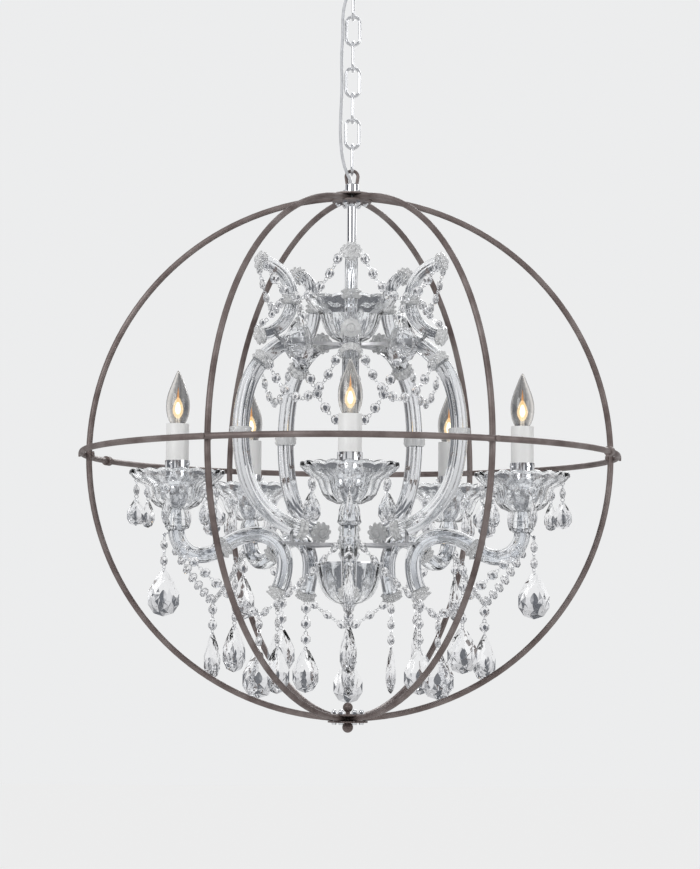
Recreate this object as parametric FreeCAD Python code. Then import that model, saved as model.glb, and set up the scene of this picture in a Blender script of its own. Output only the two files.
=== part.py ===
"""Orb chandelier: a round-bar orb cage round a five-light glass chandelier, hung on a chain.

Units are millimetres. The origin is on the ceiling at the canopy's centre, +Z is up and -Y is
the front. The cage and the glass are built round the orb's own centre and lowered into place
at the end. RHO is the distance from the vertical axis. Each of the five arms is built in the
plane of RHO and Z, and then turned to its azimuth.
"""
import FreeCAD
import Part
import os
from math import asin, cos, degrees, hypot, pi, radians, sin, sqrt

V = FreeCAD.Vector
UP = V(0, 0, 1)

# ---- Five-fold layout -----------------------------------------------------------------------
UNITS = 5
FRONT_AZIMUTH = -90.0
UNIT_STEP = 360.0 / UNITS

# ---- Canopy and chain -----------------------------------------------------------------------
CANOPY_R = 64.0
CANOPY_H = 26.0
CANOPY_WALL = 1.2
CANOPY_LIP = 7.0
STRAP_LENGTH = 104.0
STRAP_WIDTH = 19.0
STRAP_T = 2.5
STRAP_DROP = 5.0
STRAP_SLOT_SPACING = 88.9
STRAP_SLOT_LENGTH = 9.0
STRAP_SLOT_WIDTH = 4.6
SCREW_R = 2.0
SCREW_TOP = 8.0
SCREW_NECK_R = 1.7
SCREW_NECK_RISE = 0.3
SCREW_HEAD_R = 3.8
SCREW_HEAD_H = 2.4
NIPPLE_R = 4.9
NIPPLE_BORE_R = 3.4
NIPPLE_RISE = 3.0
LOCKNUT_FLATS = 14.0
LOCKNUT_H = 3.5
COLLAR_R = 15.0
COLLAR_H = 13.0
COLLAR_WALL = 2.0
COLLAR_HOLE_R = 4.9
COLLAR_HOLE_Y = -7.2
LOOP_WIRE_R = 2.2
CANOPY_LOOP_R = 10.0
LINK_LENGTH = 43.7
LINK_WIDTH = 22.5
LINK_WIRE_R = 2.1
LINK_COUNT = 7
HANG_GAP = 0.3
CAGE_LOOP_R = 8.0
CAGE_LOOP_LEG = 10.4
CAP_R = 9.0
CAP_H = 13.4
CAP_WALL = 1.0
CORD_SLOT_R = 2.75
CORD_SLOT_HALF = 2.4
CORD_SLOT_Y = -4.9
CORD_R = 2.1

# ---- Orb cage -------------------------------------------------------------------------------
BAR_R = 4.0
HOOP_R = 348.0
HOOPS = 6
HUB_INNER = 9.5
HUB_SEAT_HALF = 3.5
HUB_PLATE_R = 26.5
HUB_PLATE_T = 2.0
HUB_BOLT_RADIUS = 18.0
BOLT_R = 2.0
BOLT_CLEARANCE = 0.1
BOLT_HEAD_R = 3.6
BOLT_HEAD_H = 2.8
NUT_FLATS = 7.0
NUT_H = 3.2
ACORN_R = 3.0
JOIN_AZIMUTH = -20.0
JOIN_GAP = 0.6
JOIN_COLLAR_R = 6.4
JOIN_COLLAR_HALF = 5.5
FINIAL_STUD_R = 3.0
UPPER_BALL_R = 6.6
LOWER_BALL_R = 7.2
BALL_STANDOFF = 9.0

# ---- Stem, column and bowls -----------------------------------------------------------------
PIPE_R = 5.0
PIPE_BORE_R = 3.5
PIPE_BOTTOM_Z = -206.0
STEM_R = 6.0
STEM_WALL = 0.8
STEM_FLANGE_R = 9.5
STEM_FLANGE_H = 4.0
PIPE_FIT = 0.15
SPIDER_Z = 150.0
SPIDER_BAR_WIDTH = 6.0
SPIDER_BAR_T = 4.0
SPIDER_BAR_REACH = 99.0
HUB_BOSS_R = 16.0
HORN_PIN_R = 2.2
ARM_HUB_Z = -118.0
ARM_HUB_BOSS_R = 24.0
LYRE_PIN_RHO = 80.0
TOP_BOWL_RIM_R = 60.5
TOP_BOWL_RIM_Z = 212.0
TOP_BOWL_WAIST_R = 41.0
TOP_BOWL_WAIST_Z = 187.0
BOWL_WALL = 3.0
BOTTOM_BOWL_R = 44.0
BOTTOM_BOWL_DEPTH = 54.0
BOTTOM_BOWL_FULLNESS = 2.5
LID_R = 48.0
LID_T = 1.5
LID_Z = -143.5
BOWL_NUT_R = 8.0
BOWL_NUT_H = 12.0
COLUMN_R = 9.0
COLUMN_BEAD_R = 14.0
COLUMN_BEAD_COUNT = 5

# ---- Horns and lyre arcs --------------------------------------------------------------------
HORN_TUBE_R = 8.5
HORN_R = 50.0
HORN_RHO = 133.0
HORN_Z = 207.0
HORN_TURN = 150.0
LYRE_TUBE_R = 11.0
LYRE_END_RHO = 72.0
LYRE_MID_Z = 29.0
LYRE_SHOULDER_R = 102.0
LYRE_BELLY_R = 212.0
LYRE_SHOULDER_TURN = 60.0
LYRE_BELLY_TURN = 30.0
LYRE_FLOWER_TURN = 33.5
LYRE_COLLAR_R = 15.0
LYRE_COLLAR_H = 11.0

# ---- Arms -----------------------------------------------------------------------------------
ARM_RHO = 237.0
ARM_TOP_Z = -77.0
ARM_CORE_R = 4.5
ARM_BORE_R = 2.6
ARM_GLASS_R = 10.5
ARM_GLASS_GAP = 0.3
NECK_R = 14.0
NECK_H = 27.0
ARM_DROP_R = 32.0
ARM_DROP_TURN = 90.0
ARM_RISE_R = 48.0
ARM_RISE_TURN = 40.0
ARM_ARCH_R = 75.0
ARM_CURL_R = 37.0
ARM_CURL_TURN = 90.0
ARM_TAIL_R = 80.0
ARM_TAIL_TURN = 25.0
LEAD_R = 1.4

# ---- Candles --------------------------------------------------------------------------------
BOBECHE_R = 62.5
BOBECHE_H = 52.0
BOBECHE_WALL = 3.0
BOBECHE_BORE_R = 8.3
BOBECHE_FOOT_R = 15.0
BOBECHE_WAIST_R = 36.0
CUP_R = 16.0
CUP_WALL = 0.9
CUP_TOP_Z = -13.0
CUP_BOTTOM_Z = -42.0
CUP_SPIGOT_R = 8.0
CUP_FLOOR_T = 1.5
CUP_LEDGE_H = 4.0
CUP_LEDGE_R = 12.0
SLEEVE_R = 14.9
SLEEVE_WALL = 1.0
SLEEVE_TOP_Z = 35.0
SOCKET_R = 11.0
SOCKET_BELOW_SLEEVE = 2.0
BULB_BASE_R = 6.0
BULB_BASE_H = 23.0
BULB_FIT = 0.1
BULB_R = 15.7
BULB_H = 70.0
BULB_NECK_R = 7.0
NUB_R = 1.6
NUB_LENGTH = 2.0
NUB_DROP = 5.0

# ---- Rosettes, beads and drops --------------------------------------------------------------
ROSETTE_R = 14.0
ROSETTE_H = 13.0
HORN_ROSETTE_R = 12.5
FLOWER_EDGE = 0.75
RING_EDGE = 0.88
BEAD_R = 7.2
BEAD_T = 7.0
BEAD_PITCH = 21.0
SMALL_BEAD_R = 5.0
SMALL_BEAD_T = 5.0
SMALL_BEAD_PITCH = 14.0
BEAD_PIN_R = 0.6
DROP_W = 40.5
DROP_H = 62.0
DROP_T = 13.0
RIM_DROP_W = 24.0
RIM_DROP_H = 36.0
RIM_DROP_T = 9.0
RIM_DROPS = 6
RIM_DROP_RADIUS = 54.0
RIM_DROP_BELOW = 17.5
HOOK_R = 0.8
HOOK_FIT = 0.1
EYELET_R = 2.4
EYELET_HALF = 0.8
END_DROP_RHO = 253.0
END_DROP_HOOK_Z = -110.0
END_DROP_BEADS = 2
END_DROP_TURN = 75.0
SWAG_APEX_RHO = 193.0
SWAG_APEX_Z = (-216.0, -194.0, -228.0, -194.0, -216.0)
SWAG_DROP_TURN = (-45.0, -67.0, 0.0, 52.0, 45.0)
SWAG_DROP_BEADS = 2
SWAG_START_Z = -124.0
MID_STRAND_RHO = 157.0
MID_STRAND_TOP_Z = -142.0
MID_STRAND_HOLD_Z = -122.0
MID_STRAND_BEADS = 4
MID_DROP_TURN = -60.0
INNER_STRAND_BEADS = 3
INNER_DROP_TURN = -68.0
UPPER_DROP_RHO = 80.0
UPPER_DROP_SIDE = 24.0
UPPER_DROP_Z = 204.0
UPPER_DROP_HANDS = ((1, -1), (2, -1), (3, 1), (4, 1))
HORN_SWAGS = (0, 1, 3, 4)
HORN_SWAG_SAG = 57.0
GARLAND_SAG = 6.0
LOWER_SWAG_SAG = 6.0
SWAG_HOLD_RHO = 234.3
SWAG_HOLD_SIDE = 6.8
HOLD_DEPTH = 3.0
LYRE_SWAG_SAGS = (57.0, 53.0, 76.0, 53.0, 57.0)
SWAG_SAMPLES = 60

# ---- Heights that follow --------------------------------------------------------------------
CANOPY_BOTTOM = -CANOPY_H
COLLAR_BOTTOM = CANOPY_BOTTOM - COLLAR_H
CANOPY_LOOP_Z = COLLAR_BOTTOM - CANOPY_LOOP_R + LOOP_WIRE_R
LINK_HALF = LINK_LENGTH / 2 - LINK_WIRE_R
LINK_PITCH = LINK_LENGTH - 4 * LINK_WIRE_R
TOP_LINK_Z = CANOPY_LOOP_Z - CANOPY_LOOP_R + LOOP_WIRE_R + LINK_WIRE_R + HANG_GAP - LINK_HALF
LOW_LINK_Z = TOP_LINK_Z - (LINK_COUNT - 1) * LINK_PITCH
CHAIN_PIVOT_Z = TOP_LINK_Z + LINK_HALF
CAGE_PIVOT_Z = LOW_LINK_Z - LINK_HALF
CAGE_LOOP_TOP = CAGE_PIVOT_Z + LINK_WIRE_R + LOOP_WIRE_R + HANG_GAP
CAP_TOP = CAGE_LOOP_TOP - CAGE_LOOP_R - CAGE_LOOP_LEG
ORB_Z = CAP_TOP - CAP_H - HUB_PLATE_T - HUB_SEAT_HALF - HOOP_R
EQUATOR_R = HOOP_R + 2 * BAR_R
PLATE_FACE = HOOP_R + HUB_SEAT_HALF
CAP_BASE = PLATE_FACE + HUB_PLATE_T
STEM_TOP_Z = HOOP_R - HUB_SEAT_HALF - HUB_PLATE_T
PIPE_TOP_Z = CAP_BASE + CAP_H / 2 - 3.0
NECK_BOTTOM_Z = ARM_TOP_Z - NECK_H
SPIDER_TOP = SPIDER_Z + SPIDER_BAR_T / 2
ARM_HUB_TOP = ARM_HUB_Z + SPIDER_BAR_T / 2
BOBECHE_RIM_Z = ARM_TOP_Z + BOBECHE_H
SOCKET_TOP_Z = SLEEVE_TOP_Z - SOCKET_BELOW_SLEEVE


# ---- Drawing helpers ------------------------------------------------------------------------
def turned(shape, azimuth):
    """A copy of a shape turned about the vertical axis."""
    copy = shape.copy()
    copy.rotate(V(0, 0, 0), UP, azimuth)
    return copy


def unit_azimuth(index):
    """The azimuth of one of the five arms; the first points to the front."""
    return FRONT_AZIMUTH + UNIT_STEP * index


def on_units(shape):
    """One copy of a shape at each of the five arms."""
    return [turned(shape, unit_azimuth(index)) for index in range(UNITS)]


def cylinder(radius, low, high, x=0.0, y=0.0):
    """An upright cylinder between two heights."""
    return Part.makeCylinder(radius, high - low, V(x, y, low), UP)


def rod(radius, start, end):
    """A round rod between two points."""
    return Part.makeCylinder(radius, (end - start).Length, start, end - start)


def box(low, high):
    """A box between two corners."""
    size = high - low
    return Part.makeBox(size.x, size.y, size.z, low)


def hexagon(flats, low, high, x=0.0, y=0.0):
    """An upright hexagonal prism."""
    corner = flats / sqrt(3)
    points = [V(x + corner * cos(k * pi / 3), y + corner * sin(k * pi / 3), low) for k in range(7)]
    return Part.Face(Part.makePolygon(points)).extrude(V(0, 0, high - low))


def lathe(profile, centre=0.0):
    """A turned solid from closed (radius, height) points, about an axis at x = centre."""
    points = [V(centre + r, 0, z) for r, z in profile]
    face = Part.Face(Part.makePolygon(points + points[:1]))
    return face.revolve(V(centre, 0, 0), UP, 360)


def heading_vector(heading):
    """The unit vector of a heading in the plane of RHO and Z, in degrees above RHO."""
    return V(cos(radians(heading)), 0, sin(radians(heading)))


def bend_points(start, heading, radius, turn):
    """The middle, the end and the end heading of an arc; a positive turn is to the left."""
    side = 90.0 if turn > 0 else -90.0
    centre = start + heading_vector(heading + side) * radius
    middle = centre - heading_vector(heading + turn / 2 + side) * radius
    end = centre - heading_vector(heading + turn + side) * radius
    return middle, end, heading + turn


def trace(start, heading, bends):
    """The edges of a run of tangent arcs, with the point and heading at each join."""
    edges = []
    joins = [(start, heading)]
    for radius, turn in bends:
        middle, end, heading = bend_points(start, heading, radius, turn)
        edges.append(Part.Arc(start, middle, end).toShape())
        start = end
        joins.append((start, heading))
    return edges, joins


def tube(edges, start, heading, radius):
    """A round bar along tangent edges."""
    section = Part.Wire(Part.Circle(start, heading_vector(heading), radius).toShape())
    return Part.Wire(edges).makePipeShell([section], True, False)


def ring(radius, wire_r, centre, axis):
    """A closed ring of round wire."""
    return Part.makeTorus(radius, wire_r, centre, axis)


def save(name, shapes, lowered=True):
    """Write one node; the cage and the glass are lowered to the orb's centre."""
    shape = shapes if not isinstance(shapes, list) else Part.makeCompound(shapes)
    if lowered:
        shape.translate(V(0, 0, ORB_Z))
    if not shape.isValid():
        print("invalid", name)
    shape.exportStep("parts/" + name + ".step")
    print(name, len(shape.Solids), "solids", round(shape.Volume / 1000, 2), "cm3")


# ---- Canopy ---------------------------------------------------------------------------------
def ceiling_canopy():
    """A thin round pan with a bead at its rim, open to the ceiling, with a hole for the nipple."""
    flat_r = CANOPY_R - 22.0
    outer = [(CANOPY_R, 0.0), (CANOPY_R, -CANOPY_LIP), (CANOPY_R - 4, -CANOPY_LIP - 4),
             (flat_r + 6, CANOPY_BOTTOM + 3), (flat_r, CANOPY_BOTTOM)]
    inner = [(flat_r - 1, CANOPY_BOTTOM + CANOPY_WALL), (flat_r + 5, CANOPY_BOTTOM + 3 + CANOPY_WALL),
             (CANOPY_R - 4 - CANOPY_WALL, -CANOPY_LIP - 3.6),
             (CANOPY_R - CANOPY_WALL, -CANOPY_LIP), (CANOPY_R - CANOPY_WALL, 0.0)]
    hole = NIPPLE_R + PIPE_FIT
    middle = [(hole, CANOPY_BOTTOM), (hole, CANOPY_BOTTOM + CANOPY_WALL)]
    return lathe(outer + middle + inner)


def mounting_strap():
    """A flat bar across the canopy with two slots for the box screws and a centre hole."""
    half = V(STRAP_LENGTH / 2, STRAP_WIDTH / 2, 0)
    strap = box(V(-half.x, -half.y, -STRAP_DROP - STRAP_T), V(half.x, half.y, -STRAP_DROP))
    strap = strap.cut(cylinder(NIPPLE_R + PIPE_FIT, -STRAP_DROP - STRAP_T, -STRAP_DROP))
    run = (STRAP_SLOT_LENGTH - STRAP_SLOT_WIDTH) / 2
    low, high = -STRAP_DROP - STRAP_T, -STRAP_DROP
    for side in (-1, 1):
        x = side * STRAP_SLOT_SPACING / 2
        slot = box(V(x - run, -STRAP_SLOT_WIDTH / 2, low), V(x + run, STRAP_SLOT_WIDTH / 2, high))
        for end in (-run, run):
            slot = slot.fuse(cylinder(STRAP_SLOT_WIDTH / 2, low, high, x + end))
        strap = strap.cut(slot)
    return strap


def canopy_fasteners():
    """Two box screws in the strap's slots and the lock nut over the strap."""
    pieces = []
    head_top = -STRAP_DROP - STRAP_T
    for side in (-1, 1):
        x = side * STRAP_SLOT_SPACING / 2
        neck_top = -STRAP_DROP + SCREW_NECK_RISE
        neck = cylinder(SCREW_NECK_R, head_top, neck_top, x)
        head = cylinder(SCREW_HEAD_R, head_top - SCREW_HEAD_H, head_top, x)
        pieces.append(cylinder(SCREW_R, neck_top, SCREW_TOP, x).fuse([neck, head]))
    nut = hexagon(LOCKNUT_FLATS, head_top - LOCKNUT_H, head_top)
    pieces.append(nut.cut(cylinder(NIPPLE_R, head_top - LOCKNUT_H, head_top)))
    return pieces


def canopy_nipple():
    """The hollow threaded tube that carries everything from the strap."""
    low = CANOPY_BOTTOM - COLLAR_H / 2
    high = -STRAP_DROP + NIPPLE_RISE
    return cylinder(NIPPLE_R, low, high).cut(cylinder(NIPPLE_BORE_R, low, high))


def canopy_loop():
    """A collar screwed on the nipple, with a ring under it and a hole beside the ring."""
    collar = lathe([(0, CANOPY_BOTTOM), (COLLAR_R - 1, CANOPY_BOTTOM), (COLLAR_R, CANOPY_BOTTOM - 2),
                    (COLLAR_R, COLLAR_BOTTOM + 2), (COLLAR_R - 1, COLLAR_BOTTOM), (0, COLLAR_BOTTOM)])
    seat = CANOPY_BOTTOM - COLLAR_H / 2
    collar = collar.cut(cylinder(NIPPLE_R, seat, CANOPY_BOTTOM))
    collar = collar.cut(cylinder(COLLAR_HOLE_R, COLLAR_BOTTOM, seat, 0, COLLAR_HOLE_Y))
    loop = ring(CANOPY_LOOP_R, LOOP_WIRE_R, V(0, 0, CANOPY_LOOP_Z), V(0, 1, 0))
    inside = cylinder(COLLAR_R, COLLAR_BOTTOM + COLLAR_WALL, CANOPY_BOTTOM)
    return collar.fuse(loop.cut(inside))


def cord_slot(low, high):
    """The slot that the cord goes through, in front of a loop."""
    slot = box(V(-CORD_SLOT_HALF, CORD_SLOT_Y - CORD_SLOT_R, low),
               V(CORD_SLOT_HALF, CORD_SLOT_Y + CORD_SLOT_R, high))
    for end in (-CORD_SLOT_HALF, CORD_SLOT_HALF):
        slot = slot.fuse(cylinder(CORD_SLOT_R, low, high, end, CORD_SLOT_Y))
    return slot


# ---- Chain and cord -------------------------------------------------------------------------
def chain_link():
    """One oval link in the plane of Y and Z, centred on the origin."""
    bend_r = LINK_WIDTH / 2 - LINK_WIRE_R
    leg = LINK_HALF - bend_r
    top, bottom = V(0, 0, leg + bend_r), V(0, 0, -leg - bend_r)
    corners = [V(0, bend_r, leg), V(0, -bend_r, leg), V(0, -bend_r, -leg), V(0, bend_r, -leg)]
    edges = [Part.LineSegment(corners[3], corners[0]).toShape(),
             Part.Arc(corners[0], top, corners[1]).toShape(),
             Part.LineSegment(corners[1], corners[2]).toShape(),
             Part.Arc(corners[2], bottom, corners[3]).toShape()]
    section = Part.Wire(Part.Circle(corners[3], UP, LINK_WIRE_R).toShape())
    return Part.Wire(edges).makePipeShell([section], True, False)


def chain_links():
    """The links of the chain, each a quarter turn from the next."""
    links = []
    for index in range(LINK_COUNT):
        link = turned(chain_link(), 90.0 * (index % 2))
        link.translate(V(0, 0, TOP_LINK_Z - index * LINK_PITCH))
        links.append(link)
    return links


CORD_ROUTE = [V(-0.4, -7.2, -36.0), V(-1.4, -7.3, -45.0), V(-7.9, -7.2, -58.0), V(-14.2, -5.8, -82.0),
              V(-13.8, -4.4, -112.0), V(-15.6, -4.9, -146.0), V(-14.2, -5.0, -182.0),
              V(-15.4, -4.4, -214.0), V(-16.4, -5.2, -242.0), V(-15.2, -6.0, -266.0),
              V(-12.6, -6.5, -286.0), V(-7.6, -6.0, -302.0), V(-1.5, -5.1, -314.0),
              V(-0.3, -4.9, -321.5)]


def supply_cord():
    """The cord beside the chain: straight runs joined by tangent arcs as large as they allow."""
    edges = []
    start = CORD_ROUTE[0]
    radii = []
    for before, corner, after in zip(CORD_ROUTE, CORD_ROUTE[1:], CORD_ROUTE[2:]):
        into = (corner - before).normalize()
        out = (after - corner).normalize()
        turn = into.getAngle(out)
        shorter = min((corner - before).Length, (after - corner).Length)
        reach = 0.45 * shorter
        radius = reach / sin(turn / 2) * cos(turn / 2)
        radii.append(round(radius, 1))
        first = corner - into * reach
        last = corner + out * reach
        inward = (out - into).normalize()
        middle = corner + inward * (radius / cos(turn / 2) - radius)
        edges.append(Part.LineSegment(start, first).toShape())
        edges.append(Part.Arc(first, middle, last).toShape())
        start = last
    edges.append(Part.LineSegment(start, CORD_ROUTE[-1]).toShape())
    route = Part.Wire(edges)
    direction = CORD_ROUTE[1] - CORD_ROUTE[0]
    section = Part.Wire(Part.Circle(CORD_ROUTE[0], direction, CORD_R).toShape())
    solid = route.makePipeShell([section], True, False)
    print("cord radii", radii, "length", round(route.Length, 1))
    print("cord volume share", round(solid.Volume / (pi * CORD_R ** 2 * route.Length), 4))
    return solid


# ---- Cage top and hubs ----------------------------------------------------------------------
def cage_loop():
    """An arch of round bar that stands on the cap and hangs in the lowest link."""
    low = CAP_BASE + CAP_H
    shoulder = low + CAGE_LOOP_LEG
    inset = CAP_R - LOOP_WIRE_R - 0.3
    left, right = V(-inset, 0, low), V(inset, 0, low)
    bend = [V(-CAGE_LOOP_R, 0, shoulder), V(0, 0, shoulder + CAGE_LOOP_R), V(CAGE_LOOP_R, 0, shoulder)]
    legs = [rod(LOOP_WIRE_R, left, bend[0]), rod(LOOP_WIRE_R, right, bend[2])]
    section = Part.Wire(Part.Circle(bend[0], UP, LOOP_WIRE_R).toShape())
    arch = Part.Wire(Part.Arc(*bend).toShape()).makePipeShell([section], True, False)
    for point in (bend[0], bend[2]):
        arch = arch.fuse(Part.makeSphere(LOOP_WIRE_R, point))
    arch = arch.fuse(legs)
    return arch.cut(cylinder(2 * CAP_R, low - CAP_H, low))


def stem_cap():
    """A hollow cap over the pipe's end, with a slot for the cord."""
    low, high = CAP_BASE, CAP_BASE + CAP_H
    cap = lathe([(0, low), (CAP_R, low), (CAP_R, high - 1), (CAP_R - 0.6, high), (0, high)])
    cap = cap.cut(cylinder(CAP_R - CAP_WALL, low + CAP_H / 2, high - CAP_WALL))
    cap = cap.cut(cylinder(PIPE_R, low, low + CAP_H / 2))
    return cap.cut(cord_slot(high - CAP_WALL, high))


def hub_plates():
    """Two round plates at each pole, with a centre hole and one hole for each hoop end."""
    plates = []
    faces = [PLATE_FACE, HOOP_R - HUB_SEAT_HALF - HUB_PLATE_T]
    for low in faces + [-face - HUB_PLATE_T for face in faces]:
        high = low + HUB_PLATE_T
        centre_r = PIPE_R if low > 0 else FINIAL_STUD_R
        plate = cylinder(HUB_PLATE_R, low, high).cut(cylinder(centre_r, low, high))
        for index in range(HOOPS):
            angle = radians(index * 360.0 / HOOPS)
            x, y = HUB_BOLT_RADIUS * cos(angle), HUB_BOLT_RADIUS * sin(angle)
            plate = plate.cut(cylinder(BOLT_R + BOLT_CLEARANCE, low, high, x, y))
        plates.append(plate)
    return plates


def hub_bolt():
    """The bolt of a hoop end at the top pole: its head above the plates and an acorn nut below."""
    shank = cylinder(BOLT_R, STEM_TOP_Z - NUT_H, CAP_BASE)
    head = lathe([(0, CAP_BASE), (BOLT_HEAD_R, CAP_BASE), (BOLT_HEAD_R - 0.8, CAP_BASE + BOLT_HEAD_H),
                  (0, CAP_BASE + BOLT_HEAD_H)])
    nut = hexagon(NUT_FLATS, STEM_TOP_Z - NUT_H, STEM_TOP_Z)
    acorn = Part.makeSphere(ACORN_R, V(0, 0, STEM_TOP_Z - NUT_H))
    bolt = shank.fuse([head, nut, acorn])
    bolt.translate(V(HUB_BOLT_RADIUS, 0, 0))
    return bolt


def crossing_screw():
    """A bolt through the equator and a half hoop, its head outside and its nut inside."""
    outer = EQUATOR_R + BAR_R
    inner = HOOP_R - BAR_R
    shank = rod(BOLT_R, V(inner - NUT_H, 0, 0), V(outer, 0, 0))
    head = rod(BOLT_HEAD_R, V(outer - 0.4, 0, 0), V(outer + BOLT_HEAD_H - 0.8, 0, 0))
    nut = hexagon(NUT_FLATS, 0, NUT_H)
    nut.rotate(V(0, 0, 0), V(0, 1, 0), 90)
    nut.translate(V(inner - NUT_H + 0.4, 0, 0))
    return shank.fuse([head, nut])


def cage_bolts():
    """Every bolt of the cage: a ring of them at each pole and one at each crossing."""
    top = hub_bolt()
    bottom = top.mirror(V(0, 0, 0), UP)
    bolts = []
    for index in range(HOOPS):
        azimuth = index * 360.0 / HOOPS
        for bolt in (top, bottom, crossing_screw()):
            bolts.append(turned(bolt, azimuth))
    return bolts


def bolt_bores():
    """The holes of the bolts at azimuth zero, with their clearance."""
    radius = BOLT_R + BOLT_CLEARANCE
    through = cylinder(radius, HOOP_R - 2 * BAR_R, HOOP_R + 2 * BAR_R, HUB_BOLT_RADIUS)
    under = cylinder(radius, -HOOP_R - 2 * BAR_R, -HOOP_R + 2 * BAR_R, HUB_BOLT_RADIUS)
    across = crossing_screw()
    wide = rod(radius, V(HOOP_R - 2 * BAR_R, 0, 0), V(EQUATOR_R + 2 * BAR_R, 0, 0))
    return [through, under, wide.fuse(across)]


def meridian_hoop():
    """A half hoop of round bar whose flattened ends seat between the hub plates."""
    gap = degrees(asin(HUB_INNER / HOOP_R))
    start = V(HOOP_R * sin(radians(gap)), 0, HOOP_R * cos(radians(gap)))
    end = V(start.x, 0, -start.z)
    edge = Part.Arc(start, V(HOOP_R, 0, 0), end).toShape()
    hoop = tube([edge], start, -gap, BAR_R)
    reach = HUB_PLATE_R + 0.3
    seat = HUB_SEAT_HALF
    for sign in (-1, 1):
        lows = [sign * HOOP_R + seat, sign * HOOP_R - seat - 2 * BAR_R]
        for low in lows:
            hoop = hoop.cut(cylinder(reach, low, low + 2 * BAR_R))
    return hoop.cut(bolt_bores())


def equator_hoop(azimuth):
    """Half of the hoop round the middle, from one join to the other."""
    gap = degrees(JOIN_GAP / 2 / EQUATOR_R)
    first, last = radians(azimuth + gap), radians(azimuth + 180 - gap)
    middle = (first + last) / 2
    points = [V(EQUATOR_R * cos(a), EQUATOR_R * sin(a), 0) for a in (first, middle, last)]
    direction = V(-sin(first), cos(first), 0)
    section = Part.Wire(Part.Circle(points[0], direction, BAR_R).toShape())
    hoop = Part.Wire(Part.Arc(*points).toShape()).makePipeShell([section], True, False)
    for index in range(HOOPS):
        hoop = hoop.cut(turned(bolt_bores()[2], index * 360.0 / HOOPS))
    return hoop


def equator_collars():
    """A round collar over each join of the equator."""
    collars = []
    for azimuth in (JOIN_AZIMUTH, JOIN_AZIMUTH + 180):
        half = V(0, JOIN_COLLAR_HALF, 0)
        collar = rod(JOIN_COLLAR_R, V(EQUATOR_R, 0, 0) - half, V(EQUATOR_R, 0, 0) + half)
        collar = collar.cut(ring(EQUATOR_R, BAR_R, V(0, 0, 0), UP))
        collars.append(turned(collar, azimuth))
    return collars


def bottom_finial():
    """A ball inside and a ball below the lower hub, on one stud."""
    top = -STEM_TOP_Z + BALL_STANDOFF
    low = -CAP_BASE - LOWER_BALL_R + 1.0
    stud = cylinder(FINIAL_STUD_R, low, top + UPPER_BALL_R / 2)
    balls = [Part.makeSphere(UPPER_BALL_R, V(0, 0, top)), Part.makeSphere(LOWER_BALL_R, V(0, 0, low))]
    finial = stud.fuse(balls)
    return finial.cut(cylinder(HUB_PLATE_R, -CAP_BASE, -STEM_TOP_Z).cut(
        cylinder(FINIAL_STUD_R, -CAP_BASE, -STEM_TOP_Z)))


# ---- Stem and column ------------------------------------------------------------------------
def centre_pipe():
    """The hollow pipe that carries the glass and the leads."""
    pipe = cylinder(PIPE_R, PIPE_BOTTOM_Z, PIPE_TOP_Z)
    return pipe.cut(cylinder(PIPE_BORE_R, PIPE_BOTTOM_Z + 4, PIPE_TOP_Z))


def stem_tube():
    """The chrome tube over the pipe, flanged under the hub, down to the top bowl's floor."""
    low = SPIDER_TOP + BOWL_WALL + 2
    high = STEM_TOP_Z
    neck = high - STEM_FLANGE_H
    bore = STEM_R - STEM_WALL
    return lathe([(bore, low), (STEM_R, low), (STEM_R, neck - 2), (STEM_FLANGE_R, neck),
                  (STEM_FLANGE_R, high), (bore, high)])


def top_bowl():
    """A cut-glass bowl with a wide flared rim over a round body."""
    floor = SPIDER_TOP
    hole = PIPE_R + PIPE_FIT
    wall = BOWL_WALL
    outer = [(hole, floor), (13, floor), (26, floor + 7), (35, floor + 16),
             (TOP_BOWL_WAIST_R, TOP_BOWL_WAIST_Z), (48, TOP_BOWL_WAIST_Z + 6),
             (57, TOP_BOWL_RIM_Z - 7), (TOP_BOWL_RIM_R, TOP_BOWL_RIM_Z)]
    inner = [(r - wall, z + wall * 0.6) for r, z in reversed(outer[2:-1])]
    rim = [(TOP_BOWL_RIM_R - 1.5, TOP_BOWL_RIM_Z + 0.8)]
    return lathe(outer + rim + inner + [(13, floor + wall + 2), (hole, floor + wall + 2)])


def glass_column():
    """Turned glass over the pipe: a beaded column above the arm hub and a bobbin below it."""
    bore = PIPE_R + PIPE_FIT
    top = SPIDER_Z - SPIDER_BAR_T / 2
    bottom = ARM_HUB_TOP
    step = (top - bottom) / COLUMN_BEAD_COUNT
    profile = [(bore, top), (bore, bottom)]
    for index in range(COLUMN_BEAD_COUNT):
        z = bottom + index * step
        profile += [(COLUMN_R, z), (COLUMN_BEAD_R, z + 6), (COLUMN_BEAD_R, z + 10), (COLUMN_R, z + 18),
                    (COLUMN_R + 1, z + step / 2 + 4)]
    profile.append((COLUMN_R, top))
    low, high = LID_Z + LID_T, ARM_HUB_Z - SPIDER_BAR_T / 2
    middle = (low + high) / 2
    bobbin = lathe([(bore, low), (COLUMN_R, low), (COLUMN_BEAD_R, middle), (COLUMN_R, high),
                    (bore, high)])
    return [lathe(profile), bobbin]


def spider_bars(z, reach, boss_r):
    """A boss on the pipe with five flat bars, one for each arm."""
    half = SPIDER_BAR_T / 2
    plate = cylinder(boss_r, z - half, z + half)
    bar = box(V(0, -SPIDER_BAR_WIDTH / 2, z - half), V(reach, SPIDER_BAR_WIDTH / 2, z + half))
    return plate.fuse(on_units(bar)).cut(cylinder(PIPE_R, z - half, z + half))


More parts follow.
